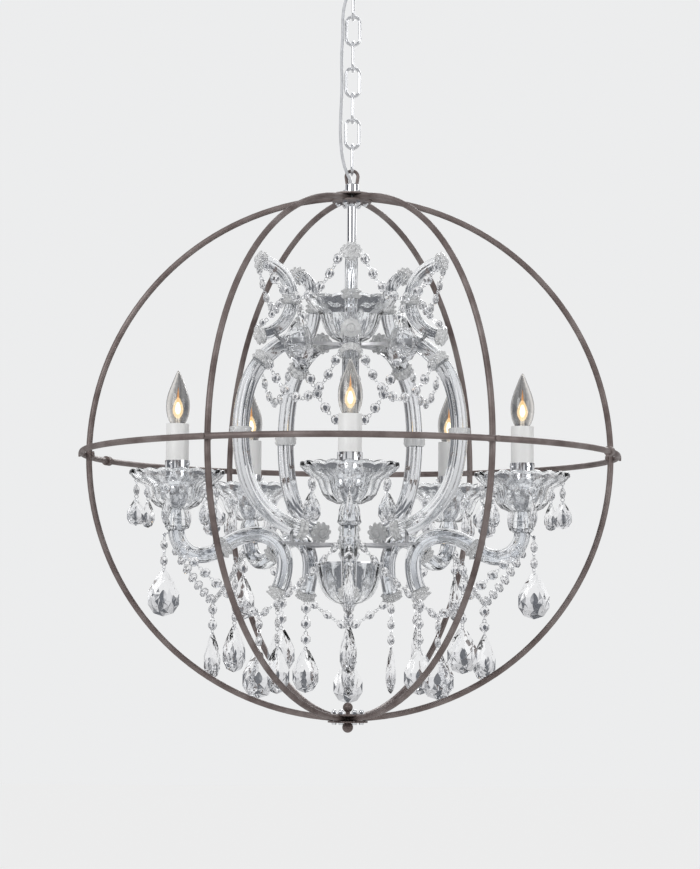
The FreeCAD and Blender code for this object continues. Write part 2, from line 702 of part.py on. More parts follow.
def lyre_trace():
    """The lyre's centreline, from its top end out and round to its bottom end."""
    first = LYRE_BELLY_TURN / 2 + LYRE_SHOULDER_TURN - 90.0
    bends = [(LYRE_SHOULDER_R, -LYRE_SHOULDER_TURN), (LYRE_BELLY_R, -LYRE_BELLY_TURN),
             (LYRE_SHOULDER_R, -LYRE_SHOULDER_TURN)]
    joins = trace(V(LYRE_END_RHO, 0, 0), first, bends)[1]
    rise = LYRE_MID_Z - (joins[0][0].z + joins[-1][0].z) / 2
    return trace(V(LYRE_END_RHO, 0, rise), first, bends)


def lyre_shoulder():
    """The place and heading of the rosette on the lyre's shoulder."""
    start, heading = lyre_trace()[1][0]
    centre = start + heading_vector(heading - 90) * LYRE_SHOULDER_R
    lean = heading - LYRE_FLOWER_TURN
    return centre - heading_vector(lean - 90) * LYRE_SHOULDER_R, lean


def horn_trace():
    """The horn's centreline: a half circle open outwards, from its low end to its tip."""
    spread = (HORN_TURN - 180.0) / 2
    start = V(HORN_RHO, 0, HORN_Z) + heading_vector(spread - 90) * HORN_R
    return trace(start, 180.0 + spread, [(HORN_R, -HORN_TURN)])


def horn_pin_line():
    """The short pin's ends: where the horn lies closest to the lyre's shoulder."""
    join, heading = lyre_trace()[1][0]
    lyre_centre = join + heading_vector(heading - 90) * LYRE_SHOULDER_R
    horn_centre = V(HORN_RHO, 0, HORN_Z)
    line = (horn_centre - lyre_centre).normalize()
    return lyre_centre + line * LYRE_SHOULDER_R, horn_centre - line * (HORN_R + 2)


def upper_spider():
    """The upper plate: its bars run inside the lyres' ends, with a pin up into each horn."""
    low, high = horn_pin_line()
    base = V(low.x, 0, SPIDER_Z)
    pin = rod(HORN_PIN_R, base, high)
    return spider_bars(SPIDER_Z, SPIDER_BAR_REACH, HUB_BOSS_R).fuse(on_units(pin))


def arm_trace():
    """The arm's centreline, from under the bobeche down, in, over the arch and down again."""
    rise = ARM_RISE_TURN
    bends = [(ARM_DROP_R, -ARM_DROP_TURN), (ARM_RISE_R, -rise), (ARM_ARCH_R, rise),
             (ARM_CURL_R, ARM_CURL_TURN), (ARM_TAIL_R, ARM_TAIL_TURN)]
    return trace(V(ARM_RHO, 0, NECK_BOTTOM_Z), -90.0, bends)


def arm_core(radius):
    """A round bar of the given radius along the whole arm, up to the candle cup."""
    edges, joins = arm_trace()
    top = V(ARM_RHO, 0, ARM_TOP_Z)
    line = Part.LineSegment(top, joins[0][0]).toShape()
    return tube([line] + edges, top, -90.0, radius)


def arm_hub_reach():
    """How far out the arm hub's bars go, to the middle of the arms' curls."""
    edges, joins = arm_trace()
    top, heading = joins[3]
    centre = top + heading_vector(heading + 90) * ARM_CURL_R
    drop = ARM_HUB_Z - centre.z
    return centre.x - sqrt(ARM_CURL_R ** 2 - drop ** 2)


def arm_hub():
    """The lower plate: its bars meet the arms' cores, with a pin up into each lyre."""
    lyre_z = lyre_trace()[1][-1][0].z
    pin = cylinder(HORN_PIN_R, ARM_HUB_Z, lyre_z, LYRE_PIN_RHO)
    hub = spider_bars(ARM_HUB_Z, arm_hub_reach(), ARM_HUB_BOSS_R).fuse(on_units(pin))
    return hub.cut(on_units(arm_core(ARM_CORE_R)))


def bowl_lid():
    """A thin disc on the bottom bowl's rim."""
    return cylinder(LID_R, LID_Z, LID_Z + LID_T).cut(cylinder(PIPE_R + PIPE_FIT, LID_Z, LID_Z + LID_T))


def bottom_bowl():
    """A round glass bowl held up against its lid by the nut."""
    steps = 7
    power = 2 / BOTTOM_BOWL_FULLNESS
    hole = PIPE_R + PIPE_FIT
    outer = []
    inner = []
    for index in range(steps):
        angle = pi / 2 * index / steps
        across, down = cos(angle) ** power, sin(angle) ** power
        outer.append((BOTTOM_BOWL_R * across, LID_Z - BOTTOM_BOWL_DEPTH * down))
        inner.append(((BOTTOM_BOWL_R - BOWL_WALL) * across,
                      LID_Z - (BOTTOM_BOWL_DEPTH - BOWL_WALL) * down))
    outer += [(hole, LID_Z - BOTTOM_BOWL_DEPTH), (hole, LID_Z - BOTTOM_BOWL_DEPTH + BOWL_WALL)]
    return lathe(outer + inner[::-1])


def bowl_nut():
    """The small turned nut under the bottom bowl."""
    top = LID_Z - BOTTOM_BOWL_DEPTH
    low = top - BOWL_NUT_H
    nut = lathe([(0, top), (BOWL_NUT_R + 3, top), (BOWL_NUT_R, top - 3), (BOWL_NUT_R - 1, low + 4),
                 (3, low), (0, low)])
    return nut.cut(cylinder(PIPE_R, PIPE_BOTTOM_Z, top))


# ---- Glass arms -----------------------------------------------------------------------------
def lyre():
    """One glass lyre arc, bored for the spider's bar, the horn's pin and the hub's pin."""
    edges, joins = lyre_trace()
    glass = tube(edges, joins[0][0], joins[0][1], LYRE_TUBE_R)
    return glass.cut(turned(upper_spider(), -FRONT_AZIMUTH)).cut(turned(arm_hub(), -FRONT_AZIMUTH))


def horn():
    """One glass horn, bored for its pin."""
    edges, joins = horn_trace()
    glass = tube(edges, joins[0][0], joins[0][1], HORN_TUBE_R)
    low, high = horn_pin_line()
    return glass.cut(rod(HORN_PIN_R, V(low.x, 0, SPIDER_Z), high))


def arm_tube():
    """The hollow steel core of an arm."""
    return arm_core(ARM_CORE_R).cut(arm_core(ARM_BORE_R))


def arm_glass():
    """The cladding of an arm: a turned neck and two bent glass tubes over the core."""
    edges, joins = arm_trace()
    bore = arm_core(ARM_CORE_R + ARM_GLASS_GAP)
    hub = turned(arm_hub(), -FRONT_AZIMUTH)
    neck_top, neck_low = ARM_TOP_Z, NECK_BOTTOM_Z
    neck = lathe([(0, neck_low), (ARM_GLASS_R + 1, neck_low), (NECK_R - 2, neck_low + 8),
                  (NECK_R, neck_top - 10), (NECK_R - 3, neck_top), (0, neck_top)], ARM_RHO)
    outer = tube(edges[:2], joins[0][0], joins[0][1], ARM_GLASS_R)
    inner = tube(edges[2:], joins[2][0], joins[2][1], ARM_GLASS_R)
    return [neck.cut(bore), outer.cut(bore), inner.cut(bore).cut(hub)]


def lamp_lead():
    """The lead inside an arm's core, with its way through the hub plate's underside."""
    return arm_core(LEAD_R)


# ---- Candles --------------------------------------------------------------------------------
def bobeche():
    """A cut-glass dish round the candle, with a wide scalloped rim."""
    low = ARM_TOP_Z
    rim = BOBECHE_RIM_Z
    wall = BOBECHE_WALL
    foot = BOBECHE_FOOT_R
    waist = BOBECHE_WAIST_R
    outer = [(BOBECHE_BORE_R, low), (foot, low), (foot + 11, low + 3.5), (waist - 3, low + 11),
             (waist, low + 19), (waist + 9, low + 29), (BOBECHE_R - 6.5, rim - 15), (BOBECHE_R, rim - 9)]
    inner = [(r - wall, z + wall) for r, z in reversed(outer[2:-1])]
    rim_top = [(BOBECHE_R - 2.5, rim)]
    floor = [(foot, low + wall), (BOBECHE_BORE_R, low + wall)]
    return lathe(outer + rim_top + inner + floor, ARM_RHO)


def candle_cup():
    """The chrome cup with a ledge for the sleeve, on a spigot through the bobeche."""
    bottom = CUP_BOTTOM_Z
    floor = bottom + CUP_FLOOR_T
    ledge = bottom + CUP_LEDGE_H
    cup = lathe([(0, bottom), (CUP_R - 3, bottom), (CUP_R, ledge), (CUP_R, CUP_TOP_Z),
                 (CUP_R - CUP_WALL, CUP_TOP_Z), (CUP_R - CUP_WALL, ledge), (CUP_LEDGE_R, ledge),
                 (CUP_LEDGE_R, floor), (0, floor)], ARM_RHO)
    dish = ARM_TOP_Z + BOBECHE_WALL
    spigot = lathe([(0, ARM_TOP_Z), (CUP_SPIGOT_R, ARM_TOP_Z), (CUP_SPIGOT_R, dish),
                    (CUP_SPIGOT_R + 5, dish), (CUP_SPIGOT_R - 1, bottom), (0, bottom)], ARM_RHO)
    cup = cup.fuse(spigot)
    for azimuth in (45, 135, 225, 315):
        direction = V(cos(radians(azimuth)), sin(radians(azimuth)), 0)
        base = V(ARM_RHO, 0, CUP_TOP_Z - NUB_DROP)
        nub = rod(NUB_R, base + direction * (CUP_R - 0.4), base + direction * (CUP_R + NUB_LENGTH))
        cup = cup.fuse(nub)
    return cup.cut(cylinder(ARM_BORE_R, ARM_TOP_Z, floor, ARM_RHO))


def lamp_socket():
    """The lamp socket inside the sleeve, on the cup's floor."""
    low = CUP_BOTTOM_Z + CUP_FLOOR_T
    socket = cylinder(SOCKET_R, low, SOCKET_TOP_Z, ARM_RHO)
    depth = SLEEVE_TOP_Z - BULB_BASE_H
    return socket.cut(cylinder(BULB_BASE_R + BULB_FIT, depth, SOCKET_TOP_Z, ARM_RHO))


def candle_sleeve():
    """The white sleeve that makes the candle."""
    low = CUP_BOTTOM_Z + CUP_LEDGE_H
    sleeve = cylinder(SLEEVE_R, low, SLEEVE_TOP_Z, ARM_RHO)
    return sleeve.cut(cylinder(SLEEVE_R - SLEEVE_WALL, low, SLEEVE_TOP_Z, ARM_RHO))


def bulb():
    """A candle bulb with its base in the socket."""
    base = SLEEVE_TOP_Z - BULB_BASE_H
    neck = SLEEVE_TOP_Z - SOCKET_BELOW_SLEEVE + 0.5
    z = SLEEVE_TOP_Z
    profile = [(0, base), (3, base), (BULB_BASE_R, base + 3), (BULB_BASE_R, neck), (BULB_NECK_R, neck),
               (BULB_NECK_R + 1, z + 2), (12.6, z + 8), (BULB_R - 0.5, z + 15), (BULB_R, z + 21),
               (BULB_R - 1, z + 31), (11.6, z + 42), (7.4, z + 54), (3.6, z + 64),
               (1.4, z + BULB_H), (0, z + BULB_H)]
    return lathe(profile, ARM_RHO)


# ---- Crystals -------------------------------------------------------------------------------
def facets(rows, top, bottom):
    """A closed solid of flat facets from rows of points between two end points."""
    faces = []
    count = len(rows[0])
    for k in range(count):
        following = (k + 1) % count
        faces.append((top, rows[0][k], rows[0][following]))
        faces.append((bottom, rows[-1][following], rows[-1][k]))
        for upper, lower in zip(rows, rows[1:]):
            faces.append((upper[k], lower[k], lower[following]))
            faces.append((upper[k], lower[following], upper[following]))
    shell = Part.makeShell([Part.Face(Part.makePolygon(list(f) + [f[0]])) for f in faces])
    solid = Part.makeSolid(shell)
    return solid if solid.Volume > 0 else solid.reversed()


def almond(width, height, depth):
    """A pear-shaped faceted drop that hangs from the origin, broad side to X."""
    sides = 10
    shares = [(0.16, 0.34), (0.42, 0.80), (0.68, 1.0), (0.88, 0.72)]
    rows = []
    for level, (down, share) in enumerate(shares):
        row = []
        for k in range(sides):
            angle = 2 * pi * (k + 0.5 * (level % 2)) / sides
            row.append(V(width / 2 * share * cos(angle), depth / 2 * share * sin(angle), -height * down))
        rows.append(row)
    return facets(rows, V(0, 0, 0), V(0, 0, -height))


def bead(radius, depth):
    """An octagon bead about the origin, its string along Z and its flat to Y."""
    rows = []
    for y, share in ((-depth / 2, 0.5), (0.0, 1.0), (depth / 2, 0.5)):
        reach = radius * share
        rows.append([V(reach * cos(pi * (2 * k + 1) / 8), y, reach * sin(pi * (2 * k + 1) / 8))
                     for k in range(8)])
    return facets(rows, V(0, -depth / 2 - 0.2, 0), V(0, depth / 2 + 0.2, 0))


def bead_size(radius, depth, pitch):
    """What a string needs to know of its beads: the solid, its half height and the pitch."""
    return bead(radius, depth), radius * cos(pi / 8), pitch


LARGE_BEAD = bead_size(BEAD_R, BEAD_T, BEAD_PITCH)
SMALL_BEAD = bead_size(SMALL_BEAD_R, SMALL_BEAD_T, SMALL_BEAD_PITCH)
DROP = almond(DROP_W, DROP_H, DROP_T)
RIM_DROP = almond(RIM_DROP_W, RIM_DROP_H, RIM_DROP_T)


def placed(shape, point, direction=None, face_azimuth=0.0):
    """A copy at a point, its Z along a direction and its flat turned to an azimuth."""
    copy = turned(shape, face_azimuth - FRONT_AZIMUTH)
    if direction is not None:
        turn = FreeCAD.Rotation(UP, direction)
        copy.Placement = FreeCAD.Placement(V(0, 0, 0), turn).multiply(copy.Placement)
    copy.translate(point)
    return copy


def bead_string(nodes, face_azimuth, size=LARGE_BEAD):
    """One bead in the middle of each run between the nodes; the wires run from bead to bead."""
    solid, edge = size[0], size[1]
    beads = []
    wires = []
    last = nodes[0]
    for start, end in zip(nodes, nodes[1:]):
        direction = (end - start).normalize()
        middle = (start + end) / 2
        beads.append(placed(solid, middle, direction, face_azimuth))
        wire = rod(BEAD_PIN_R, start, middle - direction * edge)
        if (start - last).Length > 0:
            wire = wire.fuse([rod(BEAD_PIN_R, last, start), Part.makeSphere(BEAD_PIN_R, start)])
        wires.append(wire)
        last = middle + direction * edge
    wires.append(rod(BEAD_PIN_R, last, nodes[-1]))
    return beads, wires


def swag_nodes(start, end, sag, size=LARGE_BEAD):
    """Evenly spaced ends of the bead runs on a string that sags between two points."""
    shares = [k / SWAG_SAMPLES for k in range(SWAG_SAMPLES + 1)]
    line = [start + (end - start) * share - UP * (4 * sag * share * (1 - share)) for share in shares]
    lengths = [0.0]
    for near, far in zip(line, line[1:]):
        lengths.append(lengths[-1] + (far - near).Length)
    count = max(1, int(lengths[-1] / size[2]))
    nodes = [start]
    for k in range(1, count):
        reach = lengths[-1] * k / count
        after = next(i for i, length in enumerate(lengths) if length >= reach)
        share = (reach - lengths[after - 1]) / (lengths[after] - lengths[after - 1])
        nodes.append(line[after - 1] + (line[after] - line[after - 1]) * share)
    return nodes + [end]


def wire_into(support, inside, wire, end):
    """The wire carried on from its end to a point inside its support, up to the support's face."""
    joint = [rod(BEAD_PIN_R, end, inside), Part.makeSphere(BEAD_PIN_R, end)]
    return wire.fuse(joint).cut(support)


def hanging_strand(top, count, drop, face_azimuth):
    """Beads straight down from a point with a drop at the end; the first wire comes first."""
    nodes = [top - UP * (BEAD_PITCH * k) for k in range(count + 1)]
    beads, wires = bead_string(nodes, face_azimuth)
    return wires + beads + [placed(drop, nodes[-1], None, face_azimuth)]


def polar(rho, azimuth, z, side=0.0):
    """A point by radius, azimuth and height, with a step to the left of the radius."""
    angle = radians(azimuth)
    return V(rho * cos(angle) - side * sin(angle), rho * sin(angle) + side * cos(angle), z)


def hung_strand(support, inside, top, count, drop, face_azimuth):
    """A hanging strand whose first wire is let into its support."""
    pieces = hanging_strand(top, count, drop, face_azimuth)
    return [wire_into(support, inside, pieces[0], top)] + pieces[1:]


def held_swag(start, end, sag, face_azimuth, holds, size=LARGE_BEAD):
    """A sagging string whose end wires are let into a support at each end."""
    nodes = swag_nodes(start, end, sag, size)
    beads, wires = bead_string(nodes, face_azimuth, size)
    for place, end_node, (support, inside) in zip((0, -1), (start, end), holds):
        wires[place] = wire_into(support, inside, wires[place], end_node)
    return wires + beads


def lower_swag(gap):
    """The swag from one arm to the next, with the strand and drop at its lowest point."""
    glass = arm_glass()[1]
    side = ARM_GLASS_R + 0.5
    apex = polar(SWAG_APEX_RHO, UNIT_STEP / 2, SWAG_APEX_Z[gap])
    strand = hanging_strand(apex, SWAG_DROP_BEADS, DROP, UNIT_STEP / 2 + SWAG_DROP_TURN[gap])
    pieces = strand[1:]
    ends = [Part.makeSphere(BEAD_PIN_R, apex)]
    for azimuth, turn in ((0.0, 1), (UNIT_STEP, -1)):
        start = polar(ARM_RHO, azimuth, SWAG_START_Z, turn * side)
        inside = polar(SWAG_HOLD_RHO, azimuth, SWAG_START_Z, turn * SWAG_HOLD_SIDE)
        beads, wires = bead_string(swag_nodes(start, apex, LOWER_SWAG_SAG), azimuth)
        wires[0] = wire_into(turned(glass, azimuth), inside, wires[0], start)
        ends.append(wires[-1])
        pieces += beads + wires[:-1]
    return pieces + [strand[0].fuse(ends)]


def under_strands(flowers):
    """The strands under the middle and under the inner end of an arm."""
    middle = V(MID_STRAND_RHO, 0, MID_STRAND_TOP_Z)
    pieces = hung_strand(arm_glass()[2], V(MID_STRAND_RHO, 0, MID_STRAND_HOLD_Z), middle,
                         MID_STRAND_BEADS, DROP, MID_DROP_TURN)
    end = arm_trace()[1][-1][0]
    inner = V(end.x + 2, 0, end.z - ROSETTE_H)
    pieces += hung_strand(flowers["arm_tail"], inner + UP * HOLD_DEPTH, inner, INNER_STRAND_BEADS,
                          DROP, INNER_DROP_TURN)
    return pieces


def horn_garland(flowers):
    """The string of small beads inside a horn, from its waist down to the rosette at its low end."""
    low, heading = horn_trace()[1][0]
    out = heading_vector(heading + 180)
    across = heading_vector(heading - 90)
    waist = V(HORN_RHO - HORN_R, 0, HORN_Z)
    side = V(1, 0, 0)
    start = waist + side * (HORN_ROSETTE_R + 1)
    end = low + out * (ROSETTE_H / 2) + across * HORN_ROSETTE_R
    holds = [(flowers["waist"], start - side * HOLD_DEPTH),
             (flowers["horn_low"], end - across * HOLD_DEPTH)]
    return held_swag(start, end, GARLAND_SAG, 90, holds, SMALL_BEAD)


def gap_swag(flower, centre, side, sag):
    """A string across the gap to the next arm, between the same rosettes of both."""
    azimuth = UNIT_STEP
    start = polar(centre.x, 0, centre.z, side)
    end = polar(centre.x, azimuth, centre.z, -side)
    holds = [(flower, polar(centre.x, 0, centre.z, side - HOLD_DEPTH)),
             (turned(flower, azimuth), polar(centre.x, azimuth, centre.z, HOLD_DEPTH - side))]
    return held_swag(start, end, sag, azimuth / 2, holds)


def lyre_swag(flowers, gap):
    """The string from one lyre's shoulder to the next."""
    shoulder = lyre_shoulder()[0]
    return gap_swag(flowers["shoulder"], shoulder, ROSETTE_R + 1, LYRE_SWAG_SAGS[gap])


def horn_swag(flowers):
    """The string from one horn's tip to the next."""
    tip, heading = horn_trace()[1][-1]
    centre = tip + heading_vector(heading) * (ROSETTE_H / 2)
    return gap_swag(flowers["horn_tip"], centre, HORN_ROSETTE_R + 0.5, HORN_SWAG_SAG)


def upper_drop(flowers, hand):
    """The bead and drop that hang beside a horn's waist, on the side that the hand names."""
    top = polar(UPPER_DROP_RHO, 0, UPPER_DROP_Z, hand * UPPER_DROP_SIDE)
    waist = V(HORN_RHO - HORN_R, 0, HORN_Z)
    inside = waist + (top - waist).normalize() * (HORN_ROSETTE_R - 1)
    return hung_strand(flowers["waist"], inside, top, 1, DROP, 90)


def rim_drops():
    """Small drops hung under the rim of a bobeche."""
    centre = V(ARM_RHO, 0, 0)
    top = V(ARM_RHO + RIM_DROP_RADIUS, 0, BOBECHE_RIM_Z - RIM_DROP_BELOW)
    strand = hung_strand(bobeche(), top + UP * HOLD_DEPTH, top, 1, RIM_DROP, 90)
    pieces = []
    for index in range(RIM_DROPS):
        for piece in strand:
            copy = piece.copy()
            copy.rotate(centre, UP, index * 360.0 / RIM_DROPS)
            pieces.append(copy)
    return pieces


def crystal_strands():
    """Every fixed string of beads and its drops."""
    flowers = unit_rosettes()
    pieces = []
    for piece in under_strands(flowers) + horn_garland(flowers) + rim_drops():
        pieces += on_units(piece)
    across = horn_swag(flowers)
    for gap in range(UNITS):
        swags = lower_swag(gap) + lyre_swag(flowers, gap)
        if gap in HORN_SWAGS:
            swags += across
        pieces += [turned(piece, unit_azimuth(gap)) for piece in swags]
    for index, hand in UPPER_DROP_HANDS:
        pieces += [turned(piece, unit_azimuth(index)) for piece in upper_drop(flowers, hand)]
    return pieces


def hook_point():
    """Where an arm's end drop turns on its hook, in the arm's plane."""
    return V(END_DROP_RHO, 0, END_DROP_HOOK_Z)


def drop_hook():
    """A bent wire from the rosette, with a peg across for the eyelet."""
    peg = hook_point()
    reach = EYELET_HALF + 1.6
    side = V(0, reach, 0)
    inner = V(ARM_RHO + ARM_GLASS_R - 2, reach, END_DROP_HOOK_Z + 4)
    wire = rod(HOOK_R, inner, peg + side)
    hook = wire.fuse([rod(HOOK_R, peg - side, peg + side), Part.makeSphere(HOOK_R, peg + side)])
    return hook.cut(arm_glass())


def arm_drop():
    """The eyelet, beads and large drop that swing from an arm's end."""
    peg = hook_point()
    across = V(0, EYELET_HALF, 0)
    eye = rod(HOOK_R + HOOK_FIT, peg - across, peg + across)
    eyelet = rod(EYELET_R, peg - across, peg + across).cut(eye)
    tail = peg - UP * EYELET_R
    return [eyelet] + hanging_strand(tail, END_DROP_BEADS, DROP, END_DROP_TURN)


# ---- Rosettes -------------------------------------------------------------------------------
def rosette(radius, point, heading, edge=FLOWER_EDGE):
    """A ruffled glass flower across a heading; the edge is the share of its radius at its faces."""
    half = ROSETTE_H / 2
    shape = lathe([(0, -half), (radius * edge, -half), (radius, -half * 0.3), (radius * 0.9, half * 0.3),
                   (radius, half * 0.6), (radius * edge, half), (0, half)])
    shape.rotate(V(0, 0, 0), V(0, 1, 0), 90 - heading)
    shape.translate(point)
    return shape


def glass_line(edges, start, radius):
    """The outside of a glass tube that rosettes are threaded on."""
    return tube(edges, start[0], start[1], radius)


def end_rosette(radius, join, sign):
    """A flower that closes a tube's end; the sign is positive at the end that the heading leaves."""
    point, heading = join
    out = heading if sign > 0 else heading + 180
    return rosette(radius, point + heading_vector(out) * (ROSETTE_H / 2), out)


def unit_rosettes():
    """The rosettes of one arm by name: on the horn, the lyre and the arm."""
    horn_edges, horn_joins = horn_trace()
    lyre_edges, lyre_joins = lyre_trace()
    arm_edges, arm_joins = arm_trace()
    horn_line = glass_line(horn_edges, horn_joins[0], HORN_TUBE_R)
    lyre_line = glass_line(lyre_edges, lyre_joins[0], LYRE_TUBE_R)
    arm_line = glass_line(arm_edges, arm_joins[0], ARM_GLASS_R)
    shoulder, heading = lyre_shoulder()
    rise = LYRE_COLLAR_H / 2
    collar = lathe([(0, -rise), (LYRE_COLLAR_R - 2, -rise), (LYRE_COLLAR_R, 0),
                    (LYRE_COLLAR_R - 1, rise), (0, rise)])
    belly = lyre_joins[1][0].x + LYRE_BELLY_R * (1 - cos(radians(LYRE_BELLY_TURN / 2)))
    collar.translate(V(belly, 0, LYRE_MID_Z))
    waist = V(HORN_RHO - HORN_R, 0, HORN_Z)
    junction, arm_heading = arm_joins[2]
    metal = turned(upper_spider(), -FRONT_AZIMUTH)
    hub = turned(arm_hub(), -FRONT_AZIMUTH)
    return {
        "horn_low": end_rosette(HORN_ROSETTE_R, horn_joins[0], -1),
        "horn_tip": end_rosette(HORN_ROSETTE_R, horn_joins[-1], 1),
        "waist": rosette(HORN_ROSETTE_R + 1, waist, 90, RING_EDGE).cut(horn_line),
        "shoulder": rosette(ROSETTE_R + 1, shoulder, heading, RING_EDGE).cut(lyre_line),
        "collar": collar.cut(lyre_line),
        "lyre_top": end_rosette(ROSETTE_R, lyre_joins[0], -1).cut(metal),
        "lyre_foot": end_rosette(ROSETTE_R, lyre_joins[-1], 1).cut(hub),
        "junction": rosette(ROSETTE_R + 1, junction, arm_heading, RING_EDGE).cut(arm_line),
        "arm_tail": end_rosette(ROSETTE_R, arm_joins[-1], 1),
    }


def rosettes():
    """All rosettes."""
    pieces = []
    for flower in unit_rosettes().values():
        pieces += on_units(flower)
    return pieces


# ---- Assembly -------------------------------------------------------------------------------
def write_hanging():
    """The canopy, its fittings, the chain and the cord."""
    save("ceiling_canopy", ceiling_canopy(), False)
    save("mounting_strap", mounting_strap(), False)
    save("canopy_fasteners", canopy_fasteners(), False)
    save("canopy_nipple", canopy_nipple(), False)
    save("canopy_loop", canopy_loop(), False)
    save("chain_links", chain_links(), False)
    save("supply_cord", supply_cord(), False)


def write_cage():
    """The orb cage."""
    save("cage_loop", cage_loop())
    save("stem_cap", stem_cap())
    save("hub_plates", hub_plates())
    save("cage_bolts", cage_bolts())
    for index in range(HOOPS):
        save("meridian_hoop_%d" % (index + 1), turned(meridian_hoop(), index * 360.0 / HOOPS))
    save("equator_hoop_1", equator_hoop(JOIN_AZIMUTH - 180))
    save("equator_hoop_2", equator_hoop(JOIN_AZIMUTH))
    save("equator_collars", equator_collars())
    save("bottom_finial", bottom_finial())


def write_core():
    """The stem, column, plates and bowls."""
    save("centre_pipe", centre_pipe())
    save("stem_tube", stem_tube())
    save("top_bowl", top_bowl())
    save("glass_column", glass_column())
    save("upper_spider", upper_spider())
    save("arm_hub", arm_hub())
    save("bowl_lid", bowl_lid())
    save("bottom_bowl", bottom_bowl())
    save("bowl_nut", bowl_nut())


def write_units():
    """The five arms with their candles and crystals."""
    singles = {"lyre": lyre(), "arm_tube": arm_tube(), "bulb": bulb(), "arm_drop": arm_drop()}
    for name, shape in singles.items():
        for index in range(UNITS):
            pieces = shape if isinstance(shape, list) else [shape]
            copies = [turned(piece, unit_azimuth(index)) for piece in pieces]
            save("%s_%d" % (name, index + 1), copies if len(copies) > 1 else copies[0])
    save("horns", on_units(horn()))
    glass = []
    for piece in arm_glass():
        glass += on_units(piece)
    save("arm_glass", glass)
    save("lamp_leads", on_units(lamp_lead()))
    save("bobeches", on_units(bobeche()))
    save("candle_cups", on_units(candle_cup()))
    save("lamp_sockets", on_units(lamp_socket()))
    save("candle_sleeves", on_units(candle_sleeve()))
    save("rosettes", rosettes())
    save("drop_hooks", on_units(drop_hook()))
    save("crystal_strands", crystal_strands())


os.makedirs("parts", exist_ok=True)
write_hanging()
write_cage()
write_core()
write_units()
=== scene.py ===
"""Looks of the orb chandelier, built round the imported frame.

Metres, +Z up, -Y to the front, the origin on the ceiling at the canopy's centre. RHO is the
distance from the vertical axis. Each of the five arms is drawn in its own plane, at azimuth
zero, with heights from the orb's centre, and is then turned to its place.
"""
from math import ceil, cos, pi, radians, sin

import bmesh
import bpy
import numpy as np
from mathutils import Matrix, Vector


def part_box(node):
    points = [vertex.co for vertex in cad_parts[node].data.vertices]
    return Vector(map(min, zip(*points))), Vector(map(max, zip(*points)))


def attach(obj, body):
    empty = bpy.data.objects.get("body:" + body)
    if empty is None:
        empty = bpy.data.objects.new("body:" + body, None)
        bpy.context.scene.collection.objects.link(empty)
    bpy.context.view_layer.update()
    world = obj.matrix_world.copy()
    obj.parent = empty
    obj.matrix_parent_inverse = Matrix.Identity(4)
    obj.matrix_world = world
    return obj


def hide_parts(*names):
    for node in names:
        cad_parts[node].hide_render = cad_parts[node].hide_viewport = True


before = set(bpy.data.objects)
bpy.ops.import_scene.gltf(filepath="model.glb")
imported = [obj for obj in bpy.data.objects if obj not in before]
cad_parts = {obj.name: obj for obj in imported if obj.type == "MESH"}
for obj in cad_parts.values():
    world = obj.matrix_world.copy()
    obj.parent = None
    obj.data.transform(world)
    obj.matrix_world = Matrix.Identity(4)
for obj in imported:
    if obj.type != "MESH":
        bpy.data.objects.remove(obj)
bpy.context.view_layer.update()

# ---- Places taken from the frame --------------------------------------------------------------
HOOP_LOW, HOOP_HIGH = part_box("meridian_hoop_1")
ORB_Z = (HOOP_LOW[2] + HOOP_HIGH[2]) / 2
UNITS = 5
UNIT_STEP = 360.0 / UNITS
FRONT_AZIMUTH = -90.0
UP = Vector((0, 0, 1))

# ---- Camera -----------------------------------------------------------------------------------
CAMERA_DISTANCE = 3.5
CAMERA_BELOW_ORB = 0.2645
CAMERA_PITCH = 0.0837
CAMERA_ROLL = 0.0080
CAMERA_LENS = 135.24
SENSOR_WIDTH = 36.0

# ---- Cord -------------------------------------------------------------------------------------
CORD_DIAMETER = 0.0042
CORD_ROUTE = [
    (-0.0004, -0.0072, -0.0360), (-0.0014, -0.0073, -0.0450), (-0.0079, -0.0072, -0.0580),
    (-0.0142, -0.0058, -0.0820), (-0.0138, -0.0044, -0.1120), (-0.0156, -0.0049, -0.1460),
    (-0.0142, -0.0050, -0.1820), (-0.0154, -0.0044, -0.2140), (-0.0164, -0.0052, -0.2420),
    (-0.0152, -0.0060, -0.2660), (-0.0126, -0.0065, -0.2860), (-0.0076, -0.0060, -0.3020),
    (-0.0015, -0.0051, -0.3140), (-0.0003, -0.0049, -0.3215),
]

# ---- Horns and lyres --------------------------------------------------------------------------
TUBE_STEP = 0.005
HORN_TUBE_R = 0.0088
HORN_R = 0.050
HORN_RHO = 0.133
HORN_Z = 0.207
HORN_TURN = 150.0
LYRE_TUBE_R = 0.0114
LYRE_END_RHO = 0.072
LYRE_MID_Z = 0.029
# The (radius, degrees of turn) of each arc; a turn to the right is negative.
LYRE_BENDS = [(0.102, -60.0), (0.212, -30.0), (0.102, -60.0)]
LYRE_FLOWER_TURN = 33.5
TUBE_RIBS = 8
RIB_DEPTH = 0.15

# ---- Arms -------------------------------------------------------------------------------------
ARM_RHO = 0.237
ARM_TOP_Z = -0.077
NECK_H = 0.027
ARM_TUBE_R = 0.0108
ARM_BORE_R = 0.0049
ARM_BENDS = [(0.032, -90.0), (0.048, -40.0), (0.075, 40.0), (0.037, 90.0), (0.080, 25.0)]

